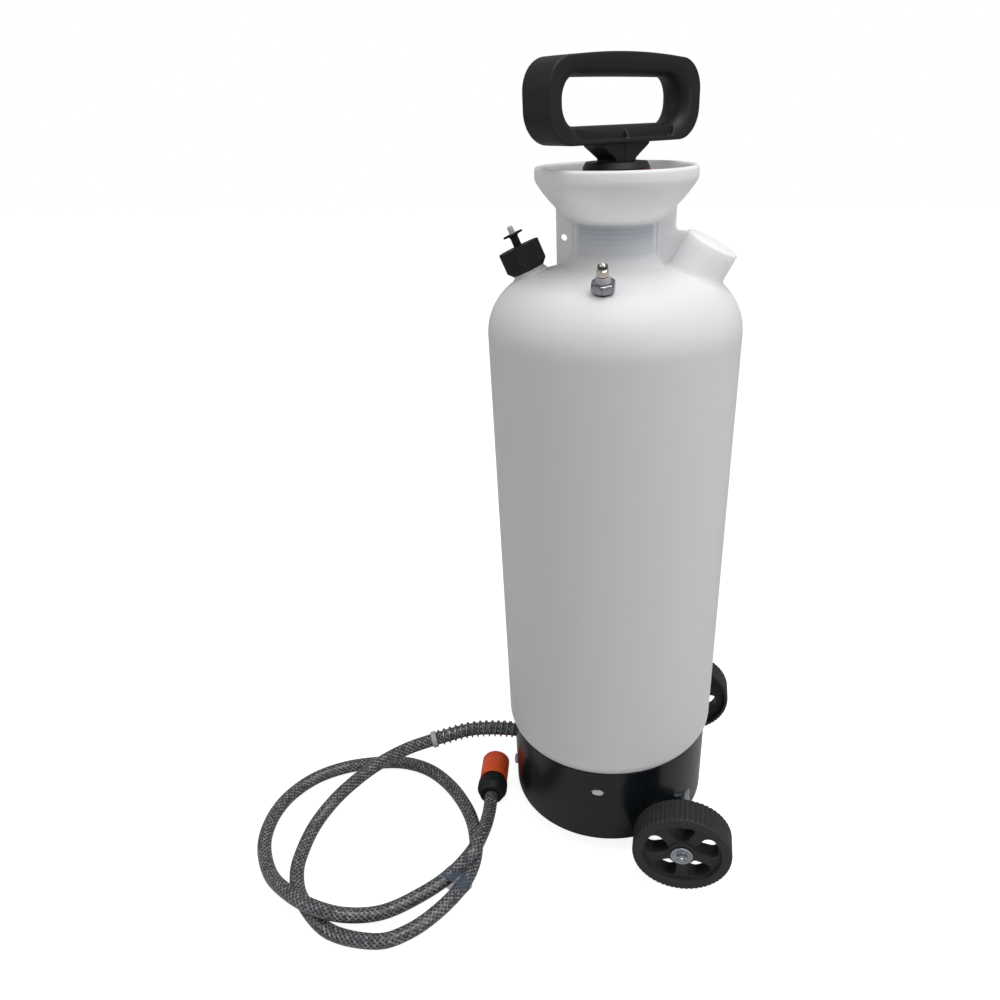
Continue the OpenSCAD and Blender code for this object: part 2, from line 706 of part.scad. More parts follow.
module pump_cylinder() color("gainsboro") on_tank() translate([0, 0, pump_low_z])
    tube(pump_d, 2 * pump_in, pump_top_z - pump_low_z);

module cylinder_foot() color([0.15, 0.15, 0.16]) on_tank()
    translate([0, 0, pump_low_z - foot_cap_floor]) difference() {
        cylinder(d = pump_d + 4.5, h = foot_cap_h);
        translate([0, 0, foot_cap_floor]) cylinder(d = pump_d + 0.1, h = foot_cap_h);
        translate([0, 0, -1]) cylinder(d = 4, h = foot_cap_floor + 2);
        for (i = [0:3]) rotate([0, 0, 90 * i]) translate([6, 0, -1]) cylinder(d = 3, h = foot_cap_floor + 2);
    }

module check_valve() color([0.1, 0.1, 0.1]) on_tank()
    translate([0, 0, pump_low_z - foot_cap_floor]) {
        translate([0, 0, -1.5]) cylinder(d = 20, h = 1.5);
        cylinder(d = 3.8, h = foot_cap_floor + 1);
        translate([0, 0, foot_cap_floor]) cylinder(d1 = 7, d2 = 4.5, h = 2);
    }

module plunger_rod() color("silver") difference() {
    on_tank() translate([0, 0, rod_low_z]) cylinder(d = rod_d, h = rod_top_z - rod_low_z);
    in_grip() translate([0, 0, pin_z]) through_y(pin_d + 0.1, 2 * rod_d);
}

module piston() color([0.2, 0.2, 0.2]) on_tank() translate([0, 0, piston_z]) difference() {
    cylinder(r = pump_in - fit_gap, h = piston_t);
    translate([0, 0, rod_low_z - piston_z]) cylinder(d = rod_d + 0.1, h = piston_t);
    translate([0, 0, piston_t / 2]) tube(2 * pump_in, 2 * pump_in - 5, 3);
}

module piston_cup() color([0.1, 0.1, 0.1]) on_tank() translate([0, 0, piston_z - cup_t]) difference() {
    cylinder(r = pump_in - run_gap, h = cup_t);
    translate([0, 0, -1]) cylinder(r = pump_in - 3, h = cup_t - 1);
}

// ---- handle ----
module in_grip() { on_tank() rotate([0, 0, grip_turn]) children(); }

// An upright outline extruded from front to back
module upright(depth) { rotate([90, 0, 0]) linear_extrude(depth, center = true) children(); }

// The loop's outline with a crowned upper edge, and its window
module grip_outline(inset) {
    x = grip_l / 2 - grip_corner;
    r = grip_corner - inset;
    top = grip_h - grip_crown;
    polygon(concat(arc(x, grip_corner, r, -90, 0, 8), arc(x, top - grip_corner, r, 0, 84, 8),
        bow([x, top - inset], [-x, top - inset], grip_crown, 16),
        arc(-x, top - grip_corner, r, 96, 180, 8), arc(-x, grip_corner, r, 180, 270, 8)));
}

module grip_window(outset) {
    w = grip_l - 2 * grip_side;
    h = grip_h - grip_top - grip_low;
    translate([0, grip_low + h / 2]) rounded(w + 2 * outset, h + 2 * outset, window_corner + outset);
}

module handle() color([0.13, 0.14, 0.15]) in_grip() difference() {
    union() {
        translate([0, 0, knob_z]) cylinder(d1 = hub_top_d, d2 = hub_top_d - 4, h = knob_h);
        translate([0, 0, knob_z]) cylinder(r = neck_half, h = knob_h + 4);
        upright(gusset_depth) polygon([[-neck_half, knob_z + knob_h - 1],
            [neck_half, knob_z + knob_h - 1], [neck_half, knob_z + knob_h + 2],
            [gusset_half, loop_z - 3], [gusset_half, loop_z + 2], [-gusset_half, loop_z + 2],
            [-gusset_half, loop_z - 3], [-neck_half, knob_z + knob_h + 2]]);
        for (a = [0:30:60]) translate([0, 0, loop_z])
            upright(grip_t - 2 * grip_edge * (1 - sin(a + 30)))
                grip_outline(grip_edge * (1 - cos(a)));
    }
    for (a = [30, 60]) for (s = [-1, 1])
        translate([0, s * (grip_t / 2 + grip_round * sin(a)), loop_z]) upright(2 * grip_round)
            grip_window(grip_round * (1 - cos(a)));
    translate([0, 0, loop_z]) upright(grip_t + 2) grip_window(0);
    for (s = [-1, 1]) translate([0, s * (grip_t + grip_web) / 4 + s * eps, loop_z])
        upright((grip_t - grip_web) / 2) difference() {
            polygon([[-pocket_low, grip_flange], [pocket_low, grip_flange],
                [pocket_high, grip_low + 3], [-pocket_high, grip_low + 3]]);
            square([grip_rib, 3 * grip_low], center = true);
        }
    translate([0, 0, knob_z - 1]) cylinder(d = rod_d + 0.1, h = rod_top_z - knob_z + 1);
    translate([0, 0, pin_z]) through_y(pin_d + 0.1, 2 * gusset_half);
}

module handle_pin() color("silver") in_grip()
    translate([0, 0, pin_z]) through_y(pin_d, gusset_depth - 1);

// ---- relief valve ----
module relief_cap() color([0.12, 0.13, 0.14]) at_relief() translate([0, 0, cap_top - relief_cap_h])
    difference() {
        union() {
            cylinder(d1 = relief_cap_d - 2 * cap_chamfer, d2 = relief_cap_d, h = cap_chamfer);
            translate([0, 0, cap_chamfer]) cylinder(d = relief_cap_d, h = relief_cap_h - cap_chamfer);
        }
        translate([0, 0, -1]) cylinder(d = relief_port_d + 0.1,
            h = relief_port_top + relief_seat_t + relief_cap_h - cap_top + 1);
        translate([0, 0, -1]) cylinder(d = flange_d + 2, h = relief_cap_h - cap_top_t + 1);
        translate([0, 0, -1]) cylinder(d = relief_stem_d + 2 * run_gap, h = relief_cap_h + 2);
    }

module relief_seat() color([0.1, 0.1, 0.1]) at_relief() translate([0, 0, relief_port_top])
    tube(relief_port_d - 1, relief_seat_bore, relief_seat_t);

module relief_spring() color("silver") at_relief() translate([0, 0, flange_z + flange_t])
    tube(flange_d - 1, relief_stem_d + 1.6, relief_travel + spring_solid);

module relief_stem() color([0.12, 0.13, 0.14]) at_relief() {
    translate([0, 0, flange_z]) cylinder(d = flange_d, h = flange_t);
    translate([0, 0, flange_z]) cylinder(d = relief_stem_d, h = cap_top + disc_up - flange_z);
    translate([0, 0, cap_top + disc_up - disc_t]) cylinder(d = relief_disc_d, h = disc_t);
}

module relief_washer() color([0.1, 0.1, 0.1]) at_relief()
    translate([0, 0, flange_z - relief_washer_t]) cylinder(d = flange_d, h = relief_washer_t);

module relief_tip() color("white") at_relief() translate([0, 0, cap_top + disc_up]) {
    cylinder(d = 5, h = tip_up - disc_up - tip_cone);
    translate([0, 0, tip_up - disc_up - tip_cone]) cylinder(d1 = 5, d2 = 3, h = tip_cone);
}

// ---- air valve ----
module air_valve_body() color("gainsboro") at_air_valve() {
    translate([0, 0, -tank_wall - 3]) cylinder(d = air_valve_d + 7, h = valve_head_t);
    translate([0, 0, -tank_wall - 3]) cylinder(d = air_valve_d, h = tank_wall + 3 + valve_cap_at - fit_gap);
    translate([0, 0, valve_cap_at - fit_gap])
        cylinder(d = valve_core_d, h = valve_core_top - valve_cap_at + fit_gap);
}

module air_valve_gasket() color("dimgray") at_air_valve() translate([0, 0, valve_seat])
    tube(valve_gasket_d, air_valve_d + 0.2, valve_gasket_t);

module air_valve_nut() color("silver") at_air_valve()
    translate([0, 0, valve_seat + valve_gasket_t]) difference() {
        union() {
            hex(valve_nut_af, valve_nut_h - 1);
            cylinder(d = valve_nut_af - 1.5, h = valve_nut_h);
        }
        translate([0, 0, -1]) cylinder(d = air_valve_d + 0.1, h = valve_nut_h + 2);
    }

module air_valve_cap() color("goldenrod") at_air_valve() translate([0, 0, valve_cap_at]) difference() {
    rotate_extrude() polygon(concat([[0, 0], [valve_cap_r, 0], [valve_cap_r, 5]],
        arc(valve_cap_r - 3.6, 5.7, 3.6, 0, 90, 6), [[0, valve_len - valve_cap_at]]));
    translate([0, 0, -1]) cylinder(d = valve_core_d + 2 * run_gap,
        h = valve_core_top - valve_cap_at + fit_gap + cap_seal_t + run_gap + 1);
}

module air_cap_seal() color([0.1, 0.1, 0.1]) at_air_valve()
    translate([0, 0, valve_core_top + fit_gap]) cylinder(d = valve_core_d, h = cap_seal_t);

// ---- outlet and hose ----
module outlet_elbow() color([0.15, 0.15, 0.16]) translate([outlet_x, 0, hose_z]) difference() {
    union() {
        cylinder(r = elbow_r, h = base_z + tank_wall + gasket_t + outlet_flange_t - hose_z);
        translate([0, 0, base_z + tank_wall + gasket_t - hose_z])
            cylinder(r = outlet_flange_r, h = outlet_flange_t);
        sphere(r = elbow_r);
        rotate([0, -90, 0]) cylinder(r = elbow_r, h = elbow_len);
    }
    cylinder(d = elbow_bore, h = 100);
    sphere(d = elbow_bore);
    rotate([0, -90, 0]) cylinder(d = elbow_bore, h = 20);
}

module outlet_gasket() color([0.1, 0.1, 0.1]) translate([outlet_x, 0, base_z + tank_wall])
    tube(2 * outlet_flange_r - 1, 2 * elbow_r + 0.2, gasket_t);

module outlet_nut() color([0.15, 0.15, 0.16]) translate([outlet_x, 0, base_z - outlet_nut_h])
    difference() {
        hex(outlet_nut_af, outlet_nut_h);
        translate([0, 0, -1]) cylinder(r = elbow_r + 0.05, h = outlet_nut_h + 2);
    }

module hose_ferrule() color("silver") translate([outlet_x - elbow_len, 0, hose_z])
    rotate([0, -90, 0]) tube(guard_d - 1, elbow_bore, outlet_x - elbow_len - HOSE[0][0] - fit_gap);

module hose() color([0.45, 0.47, 0.48])
    sweep(route_points(hose_last, hose_steps), hose_r, hose_sides);

module spring_guard() color("silver") difference() {
    sweep(route_points(guard_end, guard_steps), guard_d / 2, 16);
    sweep([for (i = [-1:guard_end * guard_steps + 1]) stretch(route_points(guard_end, guard_steps), i)],
        guard_in, 16);
}

// Point i of the list, with one more point straight on past either end
function stretch(p, i) = i < 0 ? 2 * p[0] - p[1]
    : i >= len(p) ? 2 * p[len(p) - 1] - p[len(p) - 2] : p[i];

// The clip lies on the hose just past the guard
clip_dir = route(guard_end, 0.2) - HOSE[guard_end];
module guard_clip() color("lightgray") translate(HOSE[guard_end] + clip_dir / norm(clip_dir) * 0.3)
    rotate([0, acos(clip_dir[2] / norm(clip_dir)), atan2(clip_dir[1], clip_dir[0])])
        tube(guard_d - 1, hose_d + 1.4, clip_len);

module tie_outline(r) {
    span = norm([tie_b[0] - tie_a[0], tie_b[1] - tie_a[1]]);
    for (x = [0, span]) translate([x, 0]) circle(r);
    translate([span / 2, 0]) square([span, 2 * r], center = true);
}

module hose_tie() color("lightblue")
    translate(tie_a) rotate([0, 0, atan2(tie_b[1] - tie_a[1], tie_b[0] - tie_a[0])])
        rotate([90, 0, 0]) linear_extrude(tie_len, center = true) difference() {
            tie_outline(hose_r + 0.4 + tie_t / 2);
            tie_outline(hose_r + 0.4 - tie_t / 2);
        }

// ---- connector ----
// The connector's axis is X, from the hose's end
module at_conn() { translate(conn_at) rotate([0, 0, conn_turn]) children(); }

module connector_nut() color([0.1, 0.1, 0.1]) at_conn() rotate([0, 90, 0]) difference() {
    union() {
        cylinder(d1 = conn_nut_d - 8, d2 = conn_nut_d - 1, h = conn_taper);
        translate([0, 0, conn_taper]) cylinder(d = conn_nut_d - 1, h = conn_nut_len - conn_taper);
        for (i = [0:nut_ribs - 1]) rotate([0, 0, 360 * (i + 0.5) / nut_ribs])
            translate([conn_nut_d / 2 - 2, -nut_rib_w / 2, conn_taper + 0.5])
                cube([2, nut_rib_w, conn_nut_len - conn_taper - 1.5]);
    }
    translate([0, 0, -1]) cylinder(d = conn_tail_d + 0.2, h = conn_nut_len + 2);
}

module connector_body() color([0.1, 0.1, 0.1]) at_conn() rotate([0, 90, 0]) difference() {
    union() {
        cylinder(d = conn_tail_d, h = conn_nut_len);
        translate([0, 0, conn_nut_len]) cylinder(d = conn_body_d, h = conn_end - 3 - conn_nut_len);
    }
    translate([0, 0, socket_at]) cylinder(d = socket_d, h = conn_end);
    translate([0, 0, 2]) cylinder(d = elbow_bore, h = conn_end);
    translate([0, 0, seal_at]) cylinder(d = socket_d + 4, h = seal_w);
}

module connector_seal() color([0.1, 0.1, 0.1]) at_conn() rotate([0, 90, 0])
    translate([0, 0, seal_at + seal_w / 2]) rotate_extrude()
        translate([socket_d / 2 + seal_r + run_gap, 0]) circle(seal_r, $fn = 24);

module connector_sleeve() color([0.82, 0.3, 0.14]) at_conn() rotate([0, 90, 0])
    translate([0, 0, sleeve_at]) difference() {
        rotate_extrude() polygon(concat([[0, 0], [sleeve_d / 2 - 1, 0], [sleeve_d / 2, 1]],
            arc(sleeve_d / 2 - 4, sleeve_len - 4, 4, 0, 90, 6), [[0, sleeve_len]]));
        translate([0, 0, -1]) cylinder(d = conn_body_d + 2 * run_gap, h = sleeve_len + 3);
    }

tank_foot();
tank_barrel();
tank_dome();
tank_funnel();
tank_lip();
tank_webs();
base_ring();
foot_bracket();
foot_pad();
foot_bolts();
foot_nuts();
axle();
axle_spacers();
axle_washers();
axle_nuts();
wheel_left();
wheel_right();
pump_seal();
pump_head();
head_ring();
rod_guide();
pump_cylinder();
cylinder_foot();
check_valve();
plunger_rod();
piston();
piston_cup();
handle();
handle_pin();
relief_cap();
relief_seat();
relief_spring();
relief_stem();
relief_washer();
relief_tip();
air_valve_body();
air_valve_gasket();
air_valve_nut();
air_valve_cap();
air_cap_seal();
outlet_elbow();
outlet_gasket();
outlet_nut();
hose_ferrule();
hose();
spring_guard();
guard_clip();
hose_tie();
connector_nut();
connector_body();
connector_seal();
connector_sleeve();
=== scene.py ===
"""Wheeled pump sprayer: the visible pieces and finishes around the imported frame.
The frame is in metres, +Z up, the floor at z = 0, the wheels at +X and the hose leaving at -X.
Shapes below are worked out in millimetres and made in metres."""
import json
import math

import bmesh
import bpy
from mathutils import Matrix, Vector


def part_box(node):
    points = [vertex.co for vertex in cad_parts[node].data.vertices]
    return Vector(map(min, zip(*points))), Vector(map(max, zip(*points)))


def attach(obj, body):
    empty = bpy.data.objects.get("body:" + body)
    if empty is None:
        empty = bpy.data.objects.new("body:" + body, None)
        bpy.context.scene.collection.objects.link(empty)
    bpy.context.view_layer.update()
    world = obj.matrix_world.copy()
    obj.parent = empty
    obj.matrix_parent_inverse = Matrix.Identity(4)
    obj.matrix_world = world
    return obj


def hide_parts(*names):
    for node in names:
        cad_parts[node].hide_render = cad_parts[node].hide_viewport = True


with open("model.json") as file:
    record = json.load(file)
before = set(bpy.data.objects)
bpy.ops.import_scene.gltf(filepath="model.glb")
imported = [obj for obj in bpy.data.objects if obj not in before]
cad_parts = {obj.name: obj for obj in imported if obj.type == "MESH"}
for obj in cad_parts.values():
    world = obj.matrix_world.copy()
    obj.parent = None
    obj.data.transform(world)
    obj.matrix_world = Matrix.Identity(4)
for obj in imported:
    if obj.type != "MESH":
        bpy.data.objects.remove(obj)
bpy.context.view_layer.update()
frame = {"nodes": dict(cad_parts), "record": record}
MM = 0.001


# ---- sizes in millimetres, from the frame ----
def span(node, axis):
    low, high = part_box(node)
    return low[axis] / MM, high[axis] / MM


def size(node, axis):
    low, high = span(node, axis)
    return high - low


def centre(node):
    low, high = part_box(node)
    return (low + high) / 2 / MM


RING_Z, SEAT_Z = span("base_ring", 2)
RING_R = size("base_ring", 1) / 2
TANK_X = centre("base_ring").x
TANK_R = size("tank_barrel", 1) / 2
BASE_Z = span("tank_foot", 2)[0]
RIM_Z = span("tank_lip", 2)[1]
AXLE_X, AXLE_Z = centre("axle").x, centre("axle").z
WHEEL_R = size("wheel_left", 2) / 2
WHEEL_W = size("wheel_left", 1)
WHEEL_Y = centre("wheel_right").y
HUB_TOP_Z = span("pump_head", 2)[1]
KNOB_Z, GRIP_TOP_Z = span("handle", 2)

# The tank's own shape
TANK_WALL = 3.2
SHOULDER_Z = SEAT_Z + 422
SHOULDER_R = 47.5
DOME_SLOPE = math.radians(15)
DOME_R = TANK_R - SHOULDER_R
EDGE_R = DOME_R + SHOULDER_R * math.sin(DOME_SLOPE)
EDGE_Z = SHOULDER_Z + SHOULDER_R * math.cos(DOME_SLOPE)
NECK_R = 34.5
NECK_FILLET = 16
NECK_Z = EDGE_Z + (EDGE_R - NECK_R - NECK_FILLET) * math.tan(DOME_SLOPE) + NECK_FILLET / math.cos(DOME_SLOPE)
FUNNEL_Z = NECK_Z + 20
LIP_Z = RIM_Z - 11.5
RIM_R = 65.7
LIP_WALL = 4.5
BOWL_BULGE = 2.3
LEDGE_R = NECK_R - TANK_WALL + 6
LEDGE_Z = FUNNEL_Z + 5
WEB_X = 49.5
WEB_T = 4.5
WEB_HOLE_X, WEB_HOLE_Z, WEB_HOLE_R = -43, 616, 2.75
LATCH_Z = SEAT_Z - 27
BLANK_AT, BLANK_TILT, BLANK_R, BLANK_LEN = 67.4, 27.2, 22.9, 28.0
RELIEF_AT, RELIEF_TILT = 73.0, 23.4
VALVE_AT, VALVE_TILT, VALVE_X = 73.0, 17.0, -1.4
GRIP_TURN = 51
GRIP_L, GRIP_H, GRIP_T = 164, 60.6, 30
GRIP_SIDE, GRIP_TOP, GRIP_LOW = 19, 16, 12.6
GRIP_CROWN = 2.8
LOOP_X = -1.0
LOOP_Z = GRIP_TOP_Z - GRIP_H

# Where painted shade darkens the neck under the funnel's bowl, in metres, and how many painted bands a metre
# has
SHADE_R, SHADE_LOW, SHADE_HIGH = 0.0354, 0.609, 0.629
SHADE_BANDS = 260

# The hose's route
HOSE = [
    (-101, 0, 69), (-140, 0, 69), (-176, -6, 68), (-211, -20, 63), (-245, -35, 56),
    (-273, -51, 46), (-297, -68, 33), (-317, -91, 21), (-329, -121, 12), (-330, -154, 8),
    (-323, -184, 8), (-304, -213, 8), (-262, -243, 8), (-213, -247, 8), (-185, -233, 8),
    (-162, -206, 8), (-145, -173, 9), (-141, -140, 8), (-148, -108, 8), (-165, -75, 8),
    (-194, -42, 8), (-228, -19, 8), (-264, -11, 8), (-300, -17, 8), (-334, -30, 8),
    (-362, -52, 8), (-380, -84, 8), (-384, -119, 8), (-375, -155, 8), (-350, -190, 10),
    (-316, -216, 20), (-281, -231, 24), (-247, -232, 20), (-215, -216, 10), (-184, -189, 8),
    (-160, -163, 11), (-142, -141, 23), (-137, -112, 23), (-138.6, -82, 17), (-142, -56, 17)]
HOSE_R = 7.4
HOSE_STEPS = 12
HOSE_SIDES = 32
BRAID_PITCH = 5.2
BRAID_STRANDS = 9

# ---- camera, in metres and degrees ----
CAMERA_AT = (0.0564, -0.7043, 0.7131)
CAMERA_PITCH = 61.19
CAMERA_HEADING = 10.33
CAMERA_ROLL = -1.462
CAMERA_LENS = 28.866
CAMERA_SHIFT = (-0.05347, 0.04653)


# ---- places ----
def at(x=0.0, y=0.0, z=0.0):
    return Matrix.Translation((x, y, z))


def turned(axis, degrees):
    return Matrix.Rotation(math.radians(degrees), 4, axis)


# Stands a flat outline up, so that its Y points along Z
UPRIGHT = turned("X", 90)
ON_TANK = at(TANK_X)
ON_GRIP = ON_TANK @ turned("Z", GRIP_TURN)


def make_camera():
    data = bpy.data.cameras.new("camera")
    camera = bpy.data.objects.new("camera", data)
    bpy.context.scene.collection.objects.link(camera)
    data.lens = CAMERA_LENS
    data.shift_x, data.shift_y = CAMERA_SHIFT
    data.clip_start = 0.01
    aim = turned("Z", CAMERA_HEADING) @ turned("X", CAMERA_PITCH) @ turned("Z", CAMERA_ROLL)
    camera.matrix_world = at(*CAMERA_AT) @ aim
    bpy.context.scene.camera = camera


# ---- shader arithmetic ----
class Wire:
    """One output of a shader node, with ordinary arithmetic on it."""

    def __init__(self, finish, socket):
        self.finish, self.socket = finish, socket

    def math(self, operation, *values, clamp=False):
        node = self.finish.tree.nodes.new("ShaderNodeMath")
        node.operation = operation
        node.use_clamp = clamp
        for socket, value in zip(node.inputs, values):
            self.finish.put(socket, value)
        return Wire(self.finish, node.outputs[0])

    def __add__(self, other):
        return self.math("ADD", self, other)

    def __sub__(self, other):
        return self.math("SUBTRACT", self, other)

    def __rsub__(self, other):
        return self.math("SUBTRACT", other, self)

    def __mul__(self, other):
        return self.math("MULTIPLY", self, other)

    __radd__ = __add__
    __rmul__ = __mul__

    def zigzag(self):
        """1 at whole numbers and 0 half way between them."""
        return self.math("ABSOLUTE", self.math("FRACT", self) - 0.5) * 2

    def above(self, level, width):
        """0 below level and 1 above it, over a ramp of that width."""
        return self.math("MULTIPLY_ADD", self, 1 / width, 0.5 - level / width, clamp=True)

    def most(self, other):
        return self.math("MAXIMUM", self, other)


class Finish:
    """A material made of nodes round one Principled shader."""

    def __init__(self, name, **fixed):
        self.material = bpy.data.materials.new(name)
        self.material.use_nodes = True
        self.tree = self.material.node_tree
        self.shader = self.tree.nodes["Principled BSDF"]
        for name, value in fixed.items():
            self.put(self.shader.inputs[name.replace("_", " ")], value)

    def put(self, socket, value):
        if isinstance(value, Wire):
            self.tree.links.new(value.socket, socket)
        elif socket.type == "RGBA":
            socket.default_value = (*value, 1)
        else:
            socket.default_value = value

    def node(self, kind, settings=(), out=0, **sockets):
        node = self.tree.nodes.new("ShaderNode" + kind)
        for name, value in dict(settings).items():
            setattr(node, name, value)
        for name, value in sockets.items():
            self.put(node.inputs[name.replace("_", " ")], value)
        return Wire(self, node.outputs[out])

    def where(self, x=1.0, y=1.0, z=1.0):
        """The place on the object, with each axis stretched."""
        place = self.node("TexCoord", out="Object")
        return self.node("Mapping", Vector=place, Scale=(x, y, z))

    def noise(self, scale, detail=4.0, roughness=0.5, where=None):
        place = where or self.node("TexCoord", out="Object")
        return self.node("TexNoise", Vector=place, Scale=scale, Detail=detail, Roughness=roughness)

    def mix(self, a, b, share):
        """Colour a where share is 0 and b where it is 1."""
        node = self.tree.nodes.new("ShaderNodeMix")
        node.data_type = "RGBA"
        self.put(node.inputs[0], share)
        self.put(node.inputs[6], a)
        self.put(node.inputs[7], b)
        return Wire(self, node.outputs[2])

    def bump(self, height, depth, under=None):
        """A Bump node whose full height is depth, in millimetres."""
        node = self.tree.nodes.new("ShaderNodeBump")
        node.inputs["Distance"].default_value = depth * MM
        self.put(node.inputs["Height"], height)
        if under:
            self.put(node.inputs["Normal"], under)
        return Wire(self, node.outputs[0])

    def feed(self, **sockets):
        for name, value in sockets.items():
            self.put(self.shader.inputs[name.replace("_", " ")], value)
        return self.material


# ---- finishes ----
def moulded(name, colour, roughness, grain=900, depth=0.05, spread=0.25, **fixed):
    """Moulded plastic or rubber: a fine grain, uneven gloss and a slight change of shade."""
    f = Finish(name, **fixed)
    broad = f.noise(14, 3)
    fine = f.noise(grain, 3, 0.6)
    dark = [c * (1 - spread) for c in colour]
    pale = [c * (1 + spread) for c in colour]
    return f.feed(
        Base_Color=f.mix(dark, pale, broad * 0.7 + fine * 0.3),
        Roughness=roughness + (broad - 0.5) * 0.16 + (fine - 0.5) * 0.12,
        Normal=f.bump(fine, depth))


def tank_plastic():
    """Cloudy white plastic, with painted shade on the neck under the funnel, fading out towards its sides.
    """
    f = Finish("tank plastic", Subsurface_Weight=0.75, Subsurface_Radius=(1, 0.98, 0.95),
               Subsurface_Scale=0.014, IOR=1.45, Specular_IOR_Level=0.28)
    cloud = f.noise(6, 4)
    grain = f.noise(1400, 2, 0.6)
    streak = f.noise(30, 4, 0.6, f.where(1, 1, 0.12))
    skin = f.mix((0.80, 0.80, 0.805), (0.885, 0.885, 0.90), cloud * 0.7 + streak * 0.3)
    place = f.node("TexCoord", out="Object")
    flat = f.node("Mapping", Vector=place, Location=(-TANK_X * MM, 0, 0), Scale=(1, 1, 0))
    out = f.node("VectorMath", {"operation": "LENGTH"}, out="Value", Vector=flat)
    height = f.node("SeparateXYZ", Vector=place, out="Z")
    # Painted shade on the neck: bands up its height between SHADE_LOW and SHADE_HIGH, strongest where the
    # neck faces the camera
    painted_shade_band = (height * SHADE_BANDS).zigzag() * 0.16 + 0.84
    facing = f.node("LayerWeight", out="Facing", Blend=0.5)
    level = (SHADE_HIGH - height).above(0, 0.006) * (height - SHADE_LOW).above(0, 0.036)
    neck = (SHADE_R - out).above(0, 0.0015) * level * (0.62 - facing).above(0, 0.25)
    return f.feed(
        # The bluish grey here is the painted shade's colour, mixed into the skin over the neck
        Base_Color=f.mix(skin, (0.40, 0.44, 0.50), neck * painted_shade_band),
        Roughness=0.46 + (streak - 0.5) * 0.2 + (grain - 0.5) * 0.15,
        Normal=f.bump(grain, 0.05, f.bump(streak, 0.12)))


def metal(name, colour, roughness, blotch=40, **fixed):
    f = Finish(name, Metallic=1.0, **fixed)
    patch = f.noise(blotch, 4)
    fine = f.noise(1200, 2)
    dark = [c * 0.72 for c in colour]
    return f.feed(
        Base_Color=f.mix(dark, colour, patch.above(0.45, 0.5)),
        Roughness=roughness + (patch - 0.5) * 0.2,
        Normal=f.bump(fine, 0.03))


def braided_hose():
    """A braid under a clear skin. The map runs 0 to 1 round the hose, and in pitches along it."""
    f = Finish("braided hose", Coat_Weight=0.4, Coat_Roughness=0.12, IOR=1.5, Specular_IOR_Level=0.35)
    braid = f.node("UVMap", {"uv_map": "braid"})
    u = f.node("SeparateXYZ", Vector=braid, out="X") * BRAID_STRANDS
    v = f.node("SeparateXYZ", Vector=braid, out="Y")
    strand = (u + v).zigzag().above(0.74, 0.3).most((u - v).zigzag().above(0.74, 0.3) * 0.7)
    wear = f.noise(60, 3)
    core = f.mix((0.014, 0.015, 0.017), (0.042, 0.044, 0.050), wear)
    thread = f.mix((0.070, 0.074, 0.082), (0.46, 0.47, 0.48), f.noise(260, 3, 0.6).above(0.54, 0.30))
    return f.feed(
        Base_Color=f.mix(core, thread, strand),
        Roughness=0.38 + (wear - 0.5) * 0.2,
        Normal=f.bump(strand, 0.3))


FINISHES = {
    "tank_plastic": tank_plastic(),
    "black_gloss": moulded("black gloss plastic", (0.006, 0.008, 0.010), 0.24, 500, 0.01,
                           Coat_Weight=0.10, Coat_Roughness=0.08, Specular_IOR_Level=0.28),
    "black_moulding": moulded("black moulding", (0.009, 0.011, 0.013), 0.5, spread=0.35,
                              Specular_IOR_Level=0.30),
    "wheel_plastic": moulded("wheel plastic", (0.021, 0.021, 0.0215), 0.55, 700, 0.06,
                             Specular_IOR_Level=0.4),
    "rubber": moulded("black rubber", (0.02, 0.02, 0.02), 0.65, 600, 0.06),
    "red_rubber": moulded("red rubber", (0.16, 0.01, 0.03), 0.5, 600, 0.04),
    "white_plastic": moulded("white plastic", (0.55, 0.60, 0.53), 0.4, 700, 0.03, 0.08),
    "grey_plastic": moulded("grey plastic", (0.42, 0.43, 0.44), 0.4, 700, 0.03, 0.10),
    "orange_plastic": moulded("orange plastic", (0.92, 0.105, 0.014), 0.36, 700, 0.04, 0.12),
    "bracket_paint": moulded("bracket paint", (0.022, 0.023, 0.025), 0.4, 400, 0.04),
    "tape": moulded("clear tape", (0.10, 0.13, 0.18), 0.22, 200, 0.1, Alpha=0.45),
    "zinc": metal("zinc plate", (0.46, 0.50, 0.54), 0.26),
    "steel": metal("spring steel", (0.40, 0.40, 0.40), 0.32),
    "chrome": metal("chrome plate", (0.28, 0.28, 0.30), 0.16, 500),
    "brass": metal("bright cap", (0.85, 0.76, 0.68), 0.12),
    "hose_braid": braided_hose(),
}


# ---- shapes, in millimetres ----
def circle(r, steps):
    return [(r * math.cos(2 * math.pi * k / steps), r * math.sin(2 * math.pi * k / steps))
            for k in range(steps)]


def arc(x, y, r, start, end, steps=8):
    """Points along an arc about (x, y), from one angle in degrees to another."""
    turns = [math.radians(start + (end - start) * k / steps) for k in range(steps + 1)]
    return [(x + r * math.cos(a), y + r * math.sin(a)) for a in turns]


def bow(p, q, rise, steps=16):
    """Points along an arc from p to q that bulges by rise to the right of the way."""
    p, q = Vector(p), Vector(q)
    chord = (q - p).length
    way = (q - p) / chord
    side = Vector((way.y, -way.x))
    r = (chord * chord / 4 + rise * rise) / (2 * rise)
    mid = (p + q) / 2 - side * (r - rise)
    half = math.asin(chord / 2 / r)
    turns = [half * (2 * k / steps - 1) for k in range(steps + 1)]
    return [tuple(mid + r * (side * math.cos(t) + way * math.sin(t))) for t in turns]


